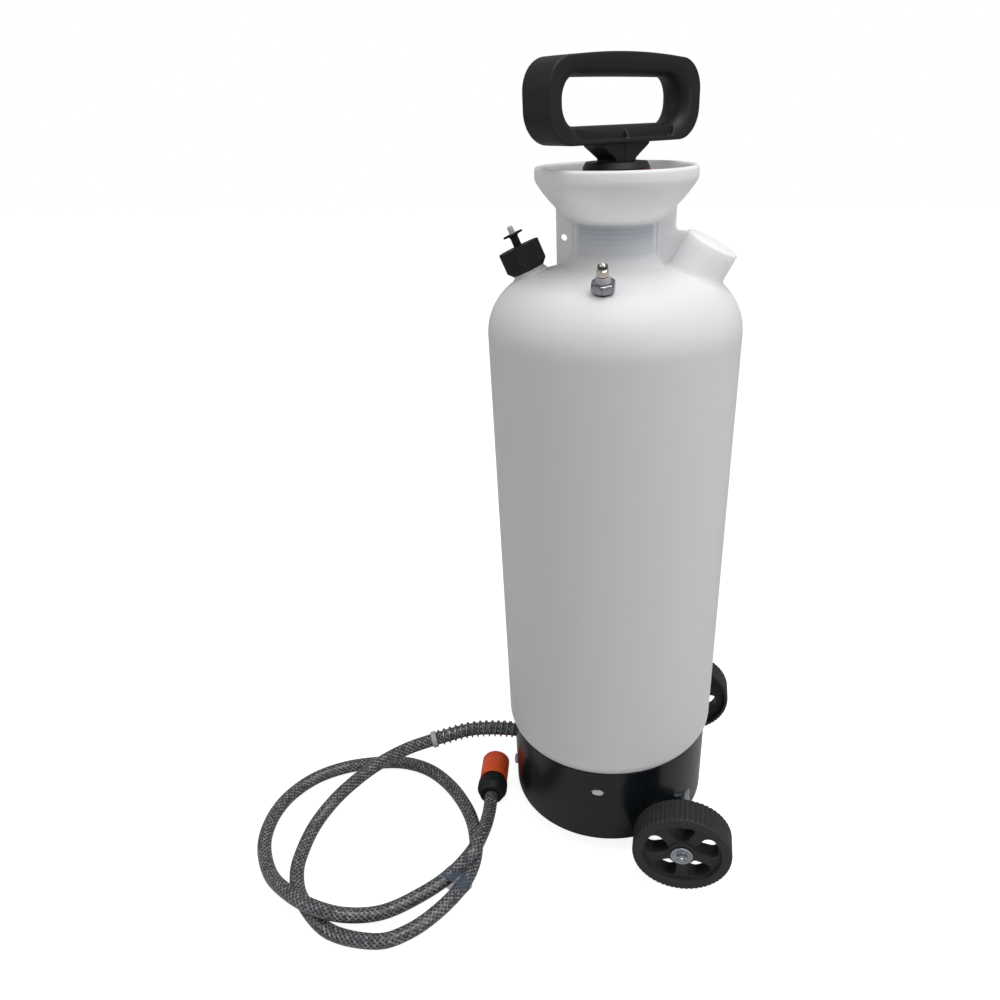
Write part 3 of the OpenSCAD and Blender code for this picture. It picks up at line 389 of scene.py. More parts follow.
def soft(corners, steps=5):
    """A closed outline from corners (x, y, radius), each rounded by its own radius."""
    out = []
    for i, (x, y, r) in enumerate(corners):
        here = Vector((x, y))
        back = Vector(corners[i - 1][:2]) - here
        on = Vector(corners[(i + 1) % len(corners)][:2]) - here
        if r <= 0:
            out.append((x, y))
            continue
        half = back.angle(on) / 2
        reach = min(r / math.tan(half), back.length * 0.499, on.length * 0.499)
        r = reach * math.tan(half)
        mid = here + (back.normalized() + on.normalized()).normalized() * (r / math.sin(half))
        first = here + back.normalized() * reach - mid
        last = here + on.normalized() * reach - mid
        a = math.atan2(first.y, first.x)
        turn = (math.atan2(last.y, last.x) - a + math.pi) % (2 * math.pi) - math.pi
        for k in range(steps + 1):
            t = a + turn * k / steps
            out.append((mid.x + r * math.cos(t), mid.y + r * math.sin(t)))
    return out


def box_outline(x0, x1, y0, y1, r, steps=8):
    return soft([(x0, y0, r), (x1, y0, r), (x1, y1, r), (x0, y1, r)], steps)


def disc_profile(outer, low, high, r):
    """Half the cross-section of a disc, with its rim rounded."""
    rim = arc(outer - r, low + r, r, -90, 0, 5) + arc(outer - r, high - r, r, 0, 90, 5)
    return [(0, low), *rim, (0, high)]


def threads(r, low, step, count):
    """A thread's ridges as half a cross-section, from a height upwards."""
    return [(r - (0.25 if k % 2 else 0), low + k * step) for k in range(count)]


def hexagon(across):
    """Keeps a turned shape within a hexagon of that width across its flats."""
    def cut(r, z, a):
        off = (a + math.pi / 6) % (math.pi / 3) - math.pi / 6
        return min(r, across / 2 / math.cos(off))
    return cut


class Shape:
    """Solids gathered into one mesh."""

    def __init__(self, place=None):
        self.mesh = bmesh.new()
        self.place = place or Matrix()

    def moved(self, place):
        self.place = place
        return self

    def rings(self, rows, loop=False):
        """A skin over rows of points, each closed on itself; open ends are capped."""
        made = [[self.mesh.verts.new(self.place @ Vector(p)) for p in row] for row in rows]
        pairs = list(zip(made, made[1:]))
        if loop:
            pairs.append((made[-1], made[0]))
        for a, b in pairs:
            n = max(len(a), len(b))
            for k in range(n):
                m = (k + 1) % n
                if len(a) == 1:
                    self.mesh.faces.new((a[0], b[m], b[k]))
                elif len(b) == 1:
                    self.mesh.faces.new((a[k], a[m], b[0]))
                else:
                    self.mesh.faces.new((a[k], a[m], b[m], b[k]))
        for row in () if loop else (made[0], made[-1]):
            if len(row) > 1:
                self.mesh.faces.new(row)
        return self

    def lathe(self, profile, sides=96, cut=None, turns=None):
        """A profile of (radius, height) turned about Z; cut changes its radius by angle."""
        turns = turns or [2 * math.pi * k / sides for k in range(sides)]
        rows = []
        for r, z in profile:
            if r < 1e-6:
                rows.append([(0, 0, z)])
                continue
            radii = [cut(r, z, a) if cut else r for a in turns]
            rows.append([(q * math.cos(a), q * math.sin(a), z) for q, a in zip(radii, turns)])
        return self.rings(rows, loop=min(r for r, z in profile) > 1e-6)

    def plate(self, outlines, depth, edge=0.0, steps=3):
        """A flat plate, about the middle of its depth, from an outline and any holes in it."""
        curve = bpy.data.curves.new("plate", "CURVE")
        curve.dimensions = "2D"
        curve.fill_mode = "BOTH"
        curve.extrude = depth / 2 - edge
        curve.bevel_depth = edge
        curve.bevel_resolution = steps
        curve.offset = -edge
        for outline in outlines:
            spline = curve.splines.new("POLY")
            spline.points.add(len(outline) - 1)
            for point, (x, y) in zip(spline.points, outline):
                point.co = (x, y, 0, 1)
            spline.use_cyclic_u = True
        holder = bpy.data.objects.new("plate", curve)
        flat = bpy.data.meshes.new_from_object(holder)
        bpy.data.objects.remove(holder)
        flat.transform(self.place)
        old = len(self.mesh.verts)
        self.mesh.from_mesh(flat)
        self.mesh.verts.ensure_lookup_table()
        bmesh.ops.remove_doubles(self.mesh, verts=self.mesh.verts[old:], dist=0.01)
        bpy.data.meshes.remove(flat)
        return self

    def tube(self, path, r, sides=16):
        return self.rings([around(p, way, r, sides) for p, way in zip(path, ways_of(path))])

    def done(self, name, body, slot, *nodes, sharp=32, even=True):
        """The piece that rides on a body, has a slot's finish and stands for these nodes."""
        bmesh.ops.recalc_face_normals(self.mesh, faces=self.mesh.faces)
        bmesh.ops.scale(self.mesh, vec=(MM, MM, MM), verts=self.mesh.verts)
        mesh = bpy.data.meshes.new(name)
        self.mesh.to_mesh(mesh)
        self.mesh.free()
        mesh.polygons.foreach_set("use_smooth", [True] * len(mesh.polygons))
        mesh.set_sharp_from_angle(angle=math.radians(sharp))
        mesh.materials.append(FINISHES[slot])
        obj = bpy.data.objects.new(name, mesh)
        bpy.context.scene.collection.objects.link(obj)
        if even:
            obj.modifiers.new("even", "WEIGHTED_NORMAL").keep_sharp = True
        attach(obj, body)
        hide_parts(*nodes)
        return obj


def combine(obj, parts, operation):
    """Adds solids to obj or cuts them out of it."""
    for part in parts:
        step = obj.modifiers.new(operation, "BOOLEAN")
        step.object = part
        step.operation = operation
        step.solver = "EXACT"
    graph = bpy.context.evaluated_depsgraph_get()
    mesh = bpy.data.meshes.new_from_object(obj.evaluated_get(graph))
    obj.modifiers.clear()
    obj.data = mesh
    for part in parts:
        bpy.data.objects.remove(part)


# ---- paths ----
def curve_through(points, steps):
    """Points along a smooth curve through the given points."""
    out = []
    last = len(points) - 1
    for i in range(last):
        a, b, c, d = (Vector(points[min(max(k, 0), last)]) for k in (i - 1, i, i + 1, i + 2))
        for t in (k / steps for k in range(steps)):
            out.append(0.5 * (2 * b + (c - a) * t + (2 * a - 5 * b + 4 * c - d) * t ** 2
                              + (3 * b - a - 3 * c + d) * t ** 3))
    out.append(Vector(points[last]))
    return out


def ways_of(path):
    """The way a path runs at each of its points."""
    last = len(path) - 1
    return [(path[min(i + 1, last)] - path[max(i - 1, 0)]).normalized() for i in range(last + 1)]


def across(way):
    """Two directions square to a way, the second of them rather upwards."""
    side = way.cross(Vector((0, 0, 1))).normalized()
    return side, side.cross(way)


def around(p, way, r, sides):
    side, up = across(way)
    turns = [2 * math.pi * k / sides for k in range(sides)]
    return [p + r * (side * math.cos(a) + up * math.sin(a)) for a in turns]


def distances(path):
    out = [0.0]
    for a, b in zip(path, path[1:]):
        out.append(out[-1] + (b - a).length)
    return out


def facing(p, way):
    """The place at p whose Z runs along way."""
    side, up = across(way)
    return Matrix.Translation(p) @ Matrix((side, up, way)).transposed().to_4x4()


# ---- tank ----
def dome_z(r):
    if r > EDGE_R:
        return SHOULDER_Z + math.sqrt(SHOULDER_R ** 2 - (r - DOME_R) ** 2)
    return EDGE_Z + (EDGE_R - r) * math.tan(DOME_SLOPE)


AT_BLANK = at(TANK_X + BLANK_AT, 0, dome_z(BLANK_AT)) @ turned("Y", BLANK_TILT)
AT_RELIEF = at(TANK_X - RELIEF_AT, 0, dome_z(RELIEF_AT)) @ turned("Y", -RELIEF_TILT)
AT_VALVE = at(TANK_X + VALVE_X, -VALVE_AT, dome_z(VALVE_AT)) @ turned("X", VALVE_TILT)


def neck_marks():
    """The moulding's threads round the neck."""
    return [(NECK_R + out, z + up) for z in (NECK_Z + 3 + 4 * k for k in range(4))
            for out, up in ((0, -1.6), (0.15, -0.8), (0.3, 0), (0.15, 0.8), (0, 1.6))]


def upper_outline():
    """The outer side of the tank from the shoulder to the lip."""
    slope = math.degrees(DOME_SLOPE)
    return (arc(DOME_R, SHOULDER_Z, SHOULDER_R, 0, 90 - slope, 40)
            + arc(NECK_R + NECK_FILLET, NECK_Z, NECK_FILLET, 270 - slope, 180, 16)
            + neck_marks()
            + bow((NECK_R, FUNNEL_Z), (RIM_R - 1.1, LIP_Z), BOWL_BULGE, 24)
            + bow((RIM_R - 0.4, LIP_Z + 1.6), (RIM_R, LIP_Z + 5), 0.2, 4))


def tank_outline():
    """The tank's outer side from the foot up, then its inner side back down."""
    foot_r = RING_R - 2.8
    neck_in = NECK_R - TANK_WALL
    slope = math.degrees(DOME_SLOPE)
    outer = (arc(foot_r - 12, BASE_Z + 12, 12, -90, 0)
             + [(foot_r, SEAT_Z - 1), (foot_r + 1, SEAT_Z + 0.4)]
             + bow((RING_R - 0.6, SEAT_Z + 0.5), (TANK_R, SEAT_Z + 13), 1.2)
             + [(TANK_R, SEAT_Z + 60), (TANK_R, SHOULDER_Z - 60)]
             + upper_outline()
             + arc(RIM_R - LIP_WALL / 2, RIM_Z - LIP_WALL / 2, LIP_WALL / 2, 0, 180, 14))
    inner = (bow((LEDGE_R, LEDGE_Z), (RIM_R - LIP_WALL, LIP_Z), BOWL_BULGE, 20)[::-1]
             + [(neck_in + 0.6, LEDGE_Z), (neck_in, LEDGE_Z - 0.6), (neck_in, NECK_Z)]
             + arc(NECK_R + NECK_FILLET, NECK_Z, NECK_FILLET + TANK_WALL, 180, 270 - slope, 12)
             + arc(DOME_R, SHOULDER_Z, SHOULDER_R - TANK_WALL, 90 - slope, 0, 20)
             + [(TANK_R - TANK_WALL, SEAT_Z + 15), (foot_r - TANK_WALL, SEAT_Z - 2)]
             + arc(foot_r - 12, BASE_Z + 12, 12 - TANK_WALL, 0, -90))
    return [(0, BASE_Z)] + outer + inner + [(0, BASE_Z + TANK_WALL)]


def skin_gap(r, z, outline):
    """How far (r, z) lies outside the outline of a turned skin, below 0 inside it."""
    best, sign = 1e9, 1
    for (ax, ay), (bx, by) in zip(outline, outline[1:]):
        dx, dy = bx - ax, by - ay
        t = ((r - ax) * dx + (z - ay) * dy) / (dx * dx + dy * dy + 1e-12)
        t = min(max(t, 0), 1)
        ex, ey = r - ax - dx * t, z - ay - dy * t
        gap = ex * ex + ey * ey
        if gap < best:
            best, sign = gap, 1 if dx * ey - dy * ex < 0 else -1
    return math.copysign(math.sqrt(best), sign)


def flare(gap, r):
    """How much a wall widens where it nears the skin that it stands on."""
    near = min(max(gap, 0.0), r)
    return r - math.sqrt(r * r - (r - near) ** 2)


def skin_r(z, outline):
    """The radius at a height of a turned skin that rises all the way."""
    return next(ax + (bx - ax) * (z - ay) / (by - ay)
                for (ax, ay), (bx, by) in zip(outline, outline[1:]) if ay <= z < by)


def plain_reach(z):
    """How far out the web on the relief valve's side stands, the same at every height."""
    return WEB_X


def port_reach(z):
    """How far out the web on the port's side stands: to the port's corner, then back round a hollow."""
    tilt, hollow = math.radians(BLANK_TILT), 4.0
    corner_x = BLANK_AT + BLANK_LEN * math.sin(tilt) - BLANK_R * math.cos(tilt)
    corner_z = dome_z(BLANK_AT) + BLANK_LEN * math.cos(tilt) + BLANK_R * math.sin(tilt)
    level = corner_z - 1.6
    if z < level:
        far = corner_x - (corner_z - z) * math.tan(tilt) + 3
        share = max(0.0, 1 - (level - z) / 0.6)
        return far + (WEB_X + hollow - far) * share
    rise = min(z - level, hollow)
    return WEB_X + hollow - math.sqrt(hollow ** 2 - (hollow - rise) ** 2)


def web(shape, side, outline, reach, low):
    """The thin web between the dome and the funnel, thickened where it meets them."""
    fillet, sunk, steps = 4.0, 2, 30
    edge = {steps - 1: 0.85, steps: 0.4}
    port_low, port_high, fine, coarse = 618, 630, 0.3, 1.0
    z = low
    rows = []
    while z < LIP_Z:
        near = max(NECK_R - sunk, min(skin_r(z - sunk, outline), skin_r(z + sunk, outline)) - sunk)
        far = reach(z)
        if near > far - 1:
            break
        row = []
        for i in range(steps + 1):
            x = near + (far - near) * i / steps
            half = WEB_T / 2 + flare(skin_gap(x, z, outline), fillet)
            row.append((side * x, half * edge.get(i, 1), z))
        rows.append(row + [(x, -y, z) for x, y, z in row[::-1]])
        z += fine if port_low < z < port_high else coarse
    shape.rings(rows)


def blank_port(shape, outline):
    """The closed stub on the shoulder, its foot flared into the dome."""
    r, high, edge, sunk, steps = BLANK_R, BLANK_LEN, 2.2, 12, 34
    thread_low, thread_high, thread_pitch, thread_depth = 5, 22, 4.2, 0.2
    turns = [2 * math.pi * k / 128 for k in range(128)]
    rows = []
    for level in (-sunk + (high - edge + sunk) * k / steps for k in range(steps + 1)):
        thread = 0.0
        if thread_low < level < thread_high:
            thread = -thread_depth * max(0.0, math.sin(2 * math.pi * level / thread_pitch))
        row = []
        for a in turns:
            p = AT_BLANK @ Vector((r * math.cos(a), r * math.sin(a), level))
            gap = skin_gap(math.hypot(p.x - TANK_X, p.y), p.z, outline)
            q = r + thread + flare(gap, 5.0) if gap > 0 else r + 4
            row.append((q * math.cos(a), q * math.sin(a), level))
        rows.append(row)
    for q, level in arc(r - edge, high - edge, edge, 12, 90, 6):
        rows.append([(q * math.cos(a), q * math.sin(a), level) for a in turns])
    shape.moved(AT_BLANK).rings(rows + [[(0, 0, high)]])


def tank():
    """The blow-moulded shell, joined with its webs, its ports and the lugs in the ring's latch holes."""
    outline = upper_outline()
    body = Shape(ON_TANK).lathe(tank_outline(), 192)
    body = body.done("tank", "tank", "tank_plastic", "tank_foot", "tank_barrel", "tank_dome", "tank_funnel",
                     "tank_lip", "tank_webs", sharp=50)
    webs = Shape(ON_TANK)
    web(webs, -1, outline, plain_reach, dome_z(WEB_X) - 1.5)
    web(webs, 1, outline, port_reach, dome_z(WEB_X - 4.5) - 1.5)
    boss_r, boss_top, sunk = 14, 11, -12
    boss = [(0, sunk), (boss_r + 1.5, sunk), (boss_r + 1.5, 1.0), *arc(boss_r + 1.6, 2.6, 1.6, 270, 180, 5),
            (boss_r, boss_top), (0, boss_top)]
    webs.moved(AT_RELIEF).lathe(boss, 64)
    webs.moved(AT_VALVE).lathe([(0, -2), (10.4, -2), (9.9, 0.2), (0, 0.2)], 48)
    lug = box_outline(-6, 6, -4, 4, 3.9)
    for side in (-1, 1):
        webs.moved(at(TANK_X, side * (RING_R - 4), LATCH_Z) @ UPRIGHT).plate([lug], 7, 0.8)
    port = Shape()
    blank_port(port, outline)
    hole = Shape(at(TANK_X + WEB_HOLE_X, 0, WEB_HOLE_Z) @ UPRIGHT).plate([circle(WEB_HOLE_R, 32)], 20)
    added = [part.done("added", "tank", "tank_plastic", even=False) for part in (webs, port)]
    combine(body, added, "UNION")
    combine(body, [hole.done("hole", "tank", "tank_plastic", even=False)], "DIFFERENCE")
    body.data.set_sharp_from_angle(angle=math.radians(50))
    body.modifiers.new("even", "WEIGHTED_NORMAL").keep_sharp = True


# ---- base ring ----
def true_round(obj):
    """Gives the faces that were turned about the tank's axis the normals of their true round."""
    mesh = obj.data
    axis = TANK_X * MM
    normals = []
    for face in mesh.polygons:
        mid = Vector((face.center.x - axis, face.center.y, 0)).normalized()
        out, up = face.normal.dot(mid), face.normal.z
        for corner in face.loop_indices:
            p = mesh.vertices[mesh.loops[corner].vertex_index].co
            here = Vector((p.x - axis, p.y, 0)).normalized()
            round_normal = here * out + Vector((0, 0, up))
            normals.append(tuple(round_normal if out * out + up * up > 0.999 else face.normal))
    mesh.normals_split_custom_set(normals)


def base_ring():
    """The open ring under the tank, with its latch holes, the hose's hole and the axle's bore."""
    wall = box_outline(RING_R - 2.5, RING_R, RING_Z, SEAT_Z, 0.8, 5)
    ring = Shape(ON_TANK).lathe(wall, 256).done("ring", "tank", "black_gloss", "base_ring", even=False)
    through = 240
    latch = box_outline(-6.5, 6.5, -4.5, 4.5, 4.4)
    slot = Shape(at(TANK_X, 0, LATCH_Z) @ UPRIGHT).plate([latch], through)
    outlet = Shape(at(TANK_X - RING_R, 0, HOSE[0][2]) @ turned("Y", 90)).plate([circle(11, 32)], 30)
    bore = Shape(at(AXLE_X, 0, AXLE_Z) @ UPRIGHT).plate([circle(6.2, 32)], through)
    cutters = [cutter.done("cutter", "tank", "black_gloss", even=False) for cutter in (slot, outlet, bore)]
    combine(ring, cutters, "DIFFERENCE")
    true_round(ring)


def nut(shape, across_flats, low, high, bore):
    """A nut with its corners chamfered, about the shape's Z."""
    corner = across_flats / 2 / math.cos(math.pi / 6) + 0.05
    cut = (corner - across_flats / 2) * 0.55
    profile = [(bore, low + 0.3), (bore + 0.3, low), (across_flats / 2 - 0.1, low), (corner, low + cut),
               (corner, high - cut), (across_flats / 2 - 0.1, high), (bore + 0.4, high), (bore, high - 0.4)]
    return shape.lathe(profile, 96, hexagon(across_flats))


def foot_nuts():
    """The two nuts on the front of the ring and the bolts' ends."""
    half_apart, up = 11.7, 11
    turn = math.degrees(math.asin(half_apart / RING_R))
    nuts, bolts = Shape(), Shape()
    for side in (-1, 1):
        place = ON_TANK @ turned("Z", 180 + side * turn) @ at(RING_R, 0, RING_Z + up) @ turned("Y", 90)
        nut(nuts.moved(place), 10, 0.05, 3.4, 3.05)
        bolts.moved(place @ at(0, 0, -12)).lathe(disc_profile(5.5, -4, 0, 0.5), 32)
        bolts.moved(place @ at(0, 0, -12)).lathe(disc_profile(3, 0, 16, 0.6), 32)
    nuts.done("foot_nuts_dressed", "tank", "zinc", "foot_nuts")
    bolts.done("foot_bolts_dressed", "tank", "zinc", "foot_bolts")


# ---- wheels ----
LUGS = 60
LUG_DEPTH = 0.9
HUB_R = 14.5
SPOKE = 12.0
WEB_OUT, WEB_IN = WHEEL_W / 2 - 4.5, 8 - WHEEL_W / 2
DISH_R = WHEEL_R - 12
BACK_R = WHEEL_R - 4
WHEEL_TURN = 3
WINDOWS = 5


def lug_turns():
    """The angles of a groove's walls and floor and the lug between, all round the tread."""
    steps = (-0.24, -0.16, -0.06, 0.06, 0.16, 0.24, 0.5)
    return [2 * math.pi * (i + m) / LUGS for i in range(LUGS) for m in steps]


def lug_cut(r, z, a):
    """Cuts the grooves into the tread and fades them out down the wheel's side."""
    place = abs((a * LUGS / (2 * math.pi) + 0.5) % 1 - 0.5)
    if place > 0.23 or r < WHEEL_R - 5:
        return r
    depth = LUG_DEPTH if place < 0.1 else LUG_DEPTH * 0.6
    return r - depth * min(1.0, (r - WHEEL_R + 5) / 3.5)


def wheel_window(middle):
    """A window between two spokes, about the angle of its middle in degrees."""
    r, outer, inner, half = 7, DISH_R - 1, HUB_R + 0.3, 180 / WINDOWS

    def corner(radius):
        turn = max(1, half - math.degrees(math.asin((SPOKE / 2 + r) / radius)))
        return turn, radius * math.cos(math.radians(turn)), radius * math.sin(math.radians(turn))

    a, fx, fy = corner(outer - r)
    b, nx, ny = corner(inner + r)
    upper = arc(fx, fy, r, a, 90 + half, 8) + arc(nx, ny, r, 90 + half, 180 + b, 8)
    lower = [(x, -y) for x, y in upper[::-1]]
    points = arc(0, 0, outer, -a, a, 12) + upper + arc(0, 0, inner, b, -b, 4) + lower
    turn = Matrix.Rotation(math.radians(middle), 2)
    return [tuple(turn @ Vector(p)) for p in points]


def wheel(name, side):
    """A wheel about Z, its outer face up, stood on the axle's end."""
    place = at(AXLE_X, side * WHEEL_Y, AXLE_Z) @ turned("X", -90 * side)
    half = WHEEL_W / 2
    tread = soft([(BACK_R, -half, 0.5), (WHEEL_R, -half, 3.0), (WHEEL_R, half, 3.4),
                  (DISH_R + 1.5, half, 1.8), (DISH_R, WEB_OUT - 1.5, 0), (BACK_R, WEB_OUT - 1.5, 0)], 5)
    s = Shape(place).lathe(tread, cut=lug_cut, turns=lug_turns())
    windows = [wheel_window(WHEEL_TURN + (k - 0.75) * 360 / WINDOWS) for k in range(WINDOWS)]
    s.moved(place @ at(0, 0, (WEB_OUT + WEB_IN) / 2))
    s.plate([circle(BACK_R + 1.2, 120), *windows], WEB_OUT - WEB_IN, 0.8, 3)
    hub = soft([(6.1, 1 - half, 0.5), (HUB_R, 1 - half, 1), (HUB_R, half - 2, 1.4), (6.1, half - 2, 0)], 5)
    s.moved(place).lathe(hub, 96)
    s.done(name + "_dressed", name.split("_")[1] + "_wheel", "wheel_plastic", name)


def axle():
    """The axle with its studs, spacers, washers and nuts."""
    rod, spacers, washers, nuts = Shape(), Shape(), Shape(), Shape()
    end_y = span("axle", 1)[1]
    nut_y = span("axle_nuts", 1)[1]
    nut_low, face = nut_y - 4, nut_y - 6.2
    rim = size("axle_washers", 2) / 2
    washer = [(3.1, face, 0.2), (rim, face, 0.4), (rim, nut_low, 0.8), (rim - 2.0, nut_low, 0.6),
              (rim - 3.4, nut_low - 1.2, 0.6), (5.9, nut_low - 1.2, 0.3), (5.6, nut_low, 0.2),
              (3.1, nut_low, 0.1)]
    step = 0.35
    thread = threads(3, face + 2.4, step, int((end_y - face - 3) / step))
    rod.moved(at(AXLE_X, 0, AXLE_Z) @ UPRIGHT).lathe(disc_profile(6, -face, face, 0.5), 48)
    for side in (-1, 1):
        place = at(AXLE_X, 0, AXLE_Z) @ turned("X", -90 * side)
        rod.moved(place).lathe([(0, face - 1), (3, face - 1), *thread, (2.4, end_y), (0, end_y)], 48)
        low, high = spacer_span()
        spacers.moved(place).lathe(box_outline(6.2, 9.5, low, high, 0.5, 3), 64)
        washers.moved(place).lathe(soft(washer, 4), 96)
        nut(nuts.moved(place), 10, nut_low, nut_y, 3.05)
    rod.done("axle_dressed", "tank", "zinc", "axle")
    spacers.done("axle_spacers_dressed", "tank", "black_moulding", "axle_spacers")
    washers.done("axle_washers_dressed", "tank", "zinc", "axle_washers")
    nuts.done("axle_nuts_dressed", "tank", "zinc", "axle_nuts")


def spacer_span():
    """From just clear of the ring to the wheel."""
    outer = span("axle_spacers", 1)[1]
    inner = math.sqrt(RING_R ** 2 - (AXLE_X - TANK_X - 9.5) ** 2) + 0.3
    return inner, outer


# ---- pump ----
def pump_head():
    """The plug in the neck, its flange, ribs and round top."""
    hub, top, flange_z = 25.0, HUB_TOP_Z, LEDGE_Z + 2.5
    low = span("pump_head", 2)[0]
    plug_r = NECK_R - TANK_WALL - 0.3
    s = Shape(ON_TANK)
    s.lathe([(0, low), *arc(plug_r - 1, low + 1, 1, -90, 0, 4), (plug_r, flange_z + 1),
             (0, flange_z + 1)], 128)
    s.lathe(disc_profile(LEDGE_R - 1, flange_z, flange_z + 6.5, 1.2), 128)
    s.lathe([(0, flange_z + 5), (hub + 2, flange_z + 5), *arc(hub + 3, flange_z + 9.5, 3, 270, 180, 5),
             (hub, top - 4), (0, top - 4)], 96)
    s.lathe(disc_profile(hub + 2, top - 5, top, 0.8), 128)
    rib = soft([(hub - 2, flange_z + 5, 0), (LEDGE_R - 5, flange_z + 5, 0), (hub + 4, top - 8, 2),
                (hub - 2, top - 8, 0)])
    for k in range(8):
        s.moved(ON_TANK @ turned("Z", 45 * k) @ UPRIGHT).plate([rib], 4, 0.6)
    s.done("pump_head_dressed", "pump", "black_moulding", "pump_head")
    ring_low, ring_high = span("head_ring", 2)
    ring = Shape(ON_TANK).lathe(box_outline(10, 27.2, ring_low, ring_high, 0.6, 4), 128)
    ring.done("head_ring_dressed", "pump", "red_rubber", "head_ring")


# ---- handle ----
def loop_outline(half, low, high, r, crown, out):
    """A rounded outline with a crowned upper side, moved outwards by out."""
    x, top = half - r, high - crown
    return (arc(x, low + r, r + out, -90, 0, 12) + arc(x, top - r, r + out, 0, 84, 12)
            + bow((x, top + out), (-x, top + out), crown, 28)
            + arc(-x, top - r, r + out, 96, 180, 12) + arc(-x, low + r, r + out, 180, 270, 12))


def grip_outline(inset):
    """The loop's outer side."""
    return loop_outline(GRIP_L / 2, 0, GRIP_H, 23, GRIP_CROWN, -inset)


def grip_window(outset):
    """The loop's window."""
    return loop_outline(GRIP_L / 2 - GRIP_SIDE, GRIP_LOW, GRIP_H - GRIP_TOP, 14.5, 0.3, outset)


def across_grip(outline, r, deep):
    """Rows of an outline across the loop, its edges rounded by r, and by deep along the way across."""
    rows, steps = [], 10
    for side, start in ((-1, -90), (1, 0)):
        for k in range(steps + 1):
            a = math.radians(start + 90 * k / steps)
            depth = side * (GRIP_T / 2 - deep) + deep * math.sin(a)
            rows.append([(x, y, depth) for x, y in outline(r * (1 - math.cos(a)))])
    return rows


def handle():
    """The grip loop with its pocketed lower bar, the neck and the knob."""
    knob_h, web, edge, cup = 4.7, 19, 1.4, 10.4
    rows = across_grip(grip_outline, edge, edge) + across_grip(grip_window, cup, GRIP_T / 2 - 1)[::-1]
    upright = ON_GRIP @ at(LOOP_X, 0, LOOP_Z) @ UPRIGHT
    piece = Shape(upright).rings(rows, loop=True)
    piece = piece.done("handle_dressed", "plunger", "black_moulding", "handle")
    cutters = []
    far, rib, floor, roof = GRIP_L / 2 - GRIP_SIDE - 8, 1.6, 3.0, GRIP_LOW + 0.3
    depth = (GRIP_T - web) / 2
    for front in (-1, 1):
        for side in (-1, 1):
            pocket = soft([(side * rib, floor, 1.6), (side * (far - 4), floor, 4), (side * far, roof, 2.0),
                           (side * rib, roof, 1.6)], 5)
            place = ON_GRIP @ at(LOOP_X, front * (web / 2 + depth), LOOP_Z) @ UPRIGHT
            cutter = Shape(place).plate([pocket], 2 * depth, 0.9)
            cutters.append(cutter.done("cutter", "plunger", "black_moulding", even=False))
    combine(piece, cutters, "DIFFERENCE")
    low, high = KNOB_Z + knob_h, LOOP_Z
    narrow, wide, thick = 11.5, 27, 22
    corners = [(narrow, low - 1, 0), (narrow, low + 2, 3), (wide, high - 1.5, 3), (wide, high + 2.5, 0)]
    mirrored = [(-x, y, r) for x, y, r in corners[::-1]]
    s = Shape(ON_GRIP @ UPRIGHT)
    s.plate([soft([mirrored[-1], *corners, *mirrored[:-1]])], thick, 1.6)
    s.plate([box_outline(-rib, rib, low - 1, high + 3, 0.5, 2)], thick + 1.4, 0.7)
    s.moved(ON_GRIP).lathe([(0, KNOB_Z), *arc(26.5, KNOB_Z + 0.5, 0.5, -90, 0, 3),
                            *arc(24.3, low - 0.7, 0.7, 10, 90, 4), (0, low)], 128)
    s.done("handle_neck", "plunger", "black_moulding")


# ---- relief valve ----
def ribbed(count, depth, from_r):
    """Rounded ribs on whatever of a turned shape lies outside from_r."""
    def cut(r, z, a):
        if r < from_r:
            return r
        return r - depth * (0.5 - 0.5 * math.cos(count * a)) ** 2
    return cut


def relief_valve():
    """The ribbed cap, the stem with its disc and the pale tip."""
    top, cap_r, cap_h = 24.6, 18.1, 21.0
    low = top - cap_h
    cap = Shape(AT_RELIEF)
    cap.lathe([(0, low), (cap_r - 4.2, low), *arc(cap_r - 4, low + 0.4, 0.4, -90, -45, 2),
               *arc(cap_r - 0.6, low + 4.2, 0.6, -45, 0, 3), *arc(cap_r - 0.9, top - 0.9, 0.9, 0, 90, 5),
               (cap_r - 3, top), (cap_r - 3.3, top - 0.4), (5.5, top - 0.4), (5.2, top), (3.6, top),
               (3.6, top - 1), (0, top - 1)], 384, ribbed(64, 0.4, cap_r - 0.9))
    cap.done("relief_cap_dressed", "tank", "black_moulding", "relief_cap")
    stem = Shape(AT_RELIEF)
    disc = top + 11.3
    stem.lathe([(0, 13), (3.5, 13), (3.5, disc - 4.4), *arc(5.5, disc - 3.8, 2, 180, 90, 5),
                (8.3, disc - 1.8), *arc(8.1, disc - 0.9, 0.75, -70, 70, 6), (7.8, disc), (0, disc)], 64)
    stem.done("relief_stem_dressed", "relief", "black_moulding", "relief_stem")
    tip = Shape(AT_RELIEF).lathe([(0, disc), (2.9, disc), (2.6, disc + 0.8), (2.5, disc + 4),
                                  *arc(0.9, disc + 4.7, 1.6, 0, 88, 6), (0, disc + 6.3)], 32)
    tip.done("relief_tip_dressed", "relief", "white_plastic", "relief_tip")


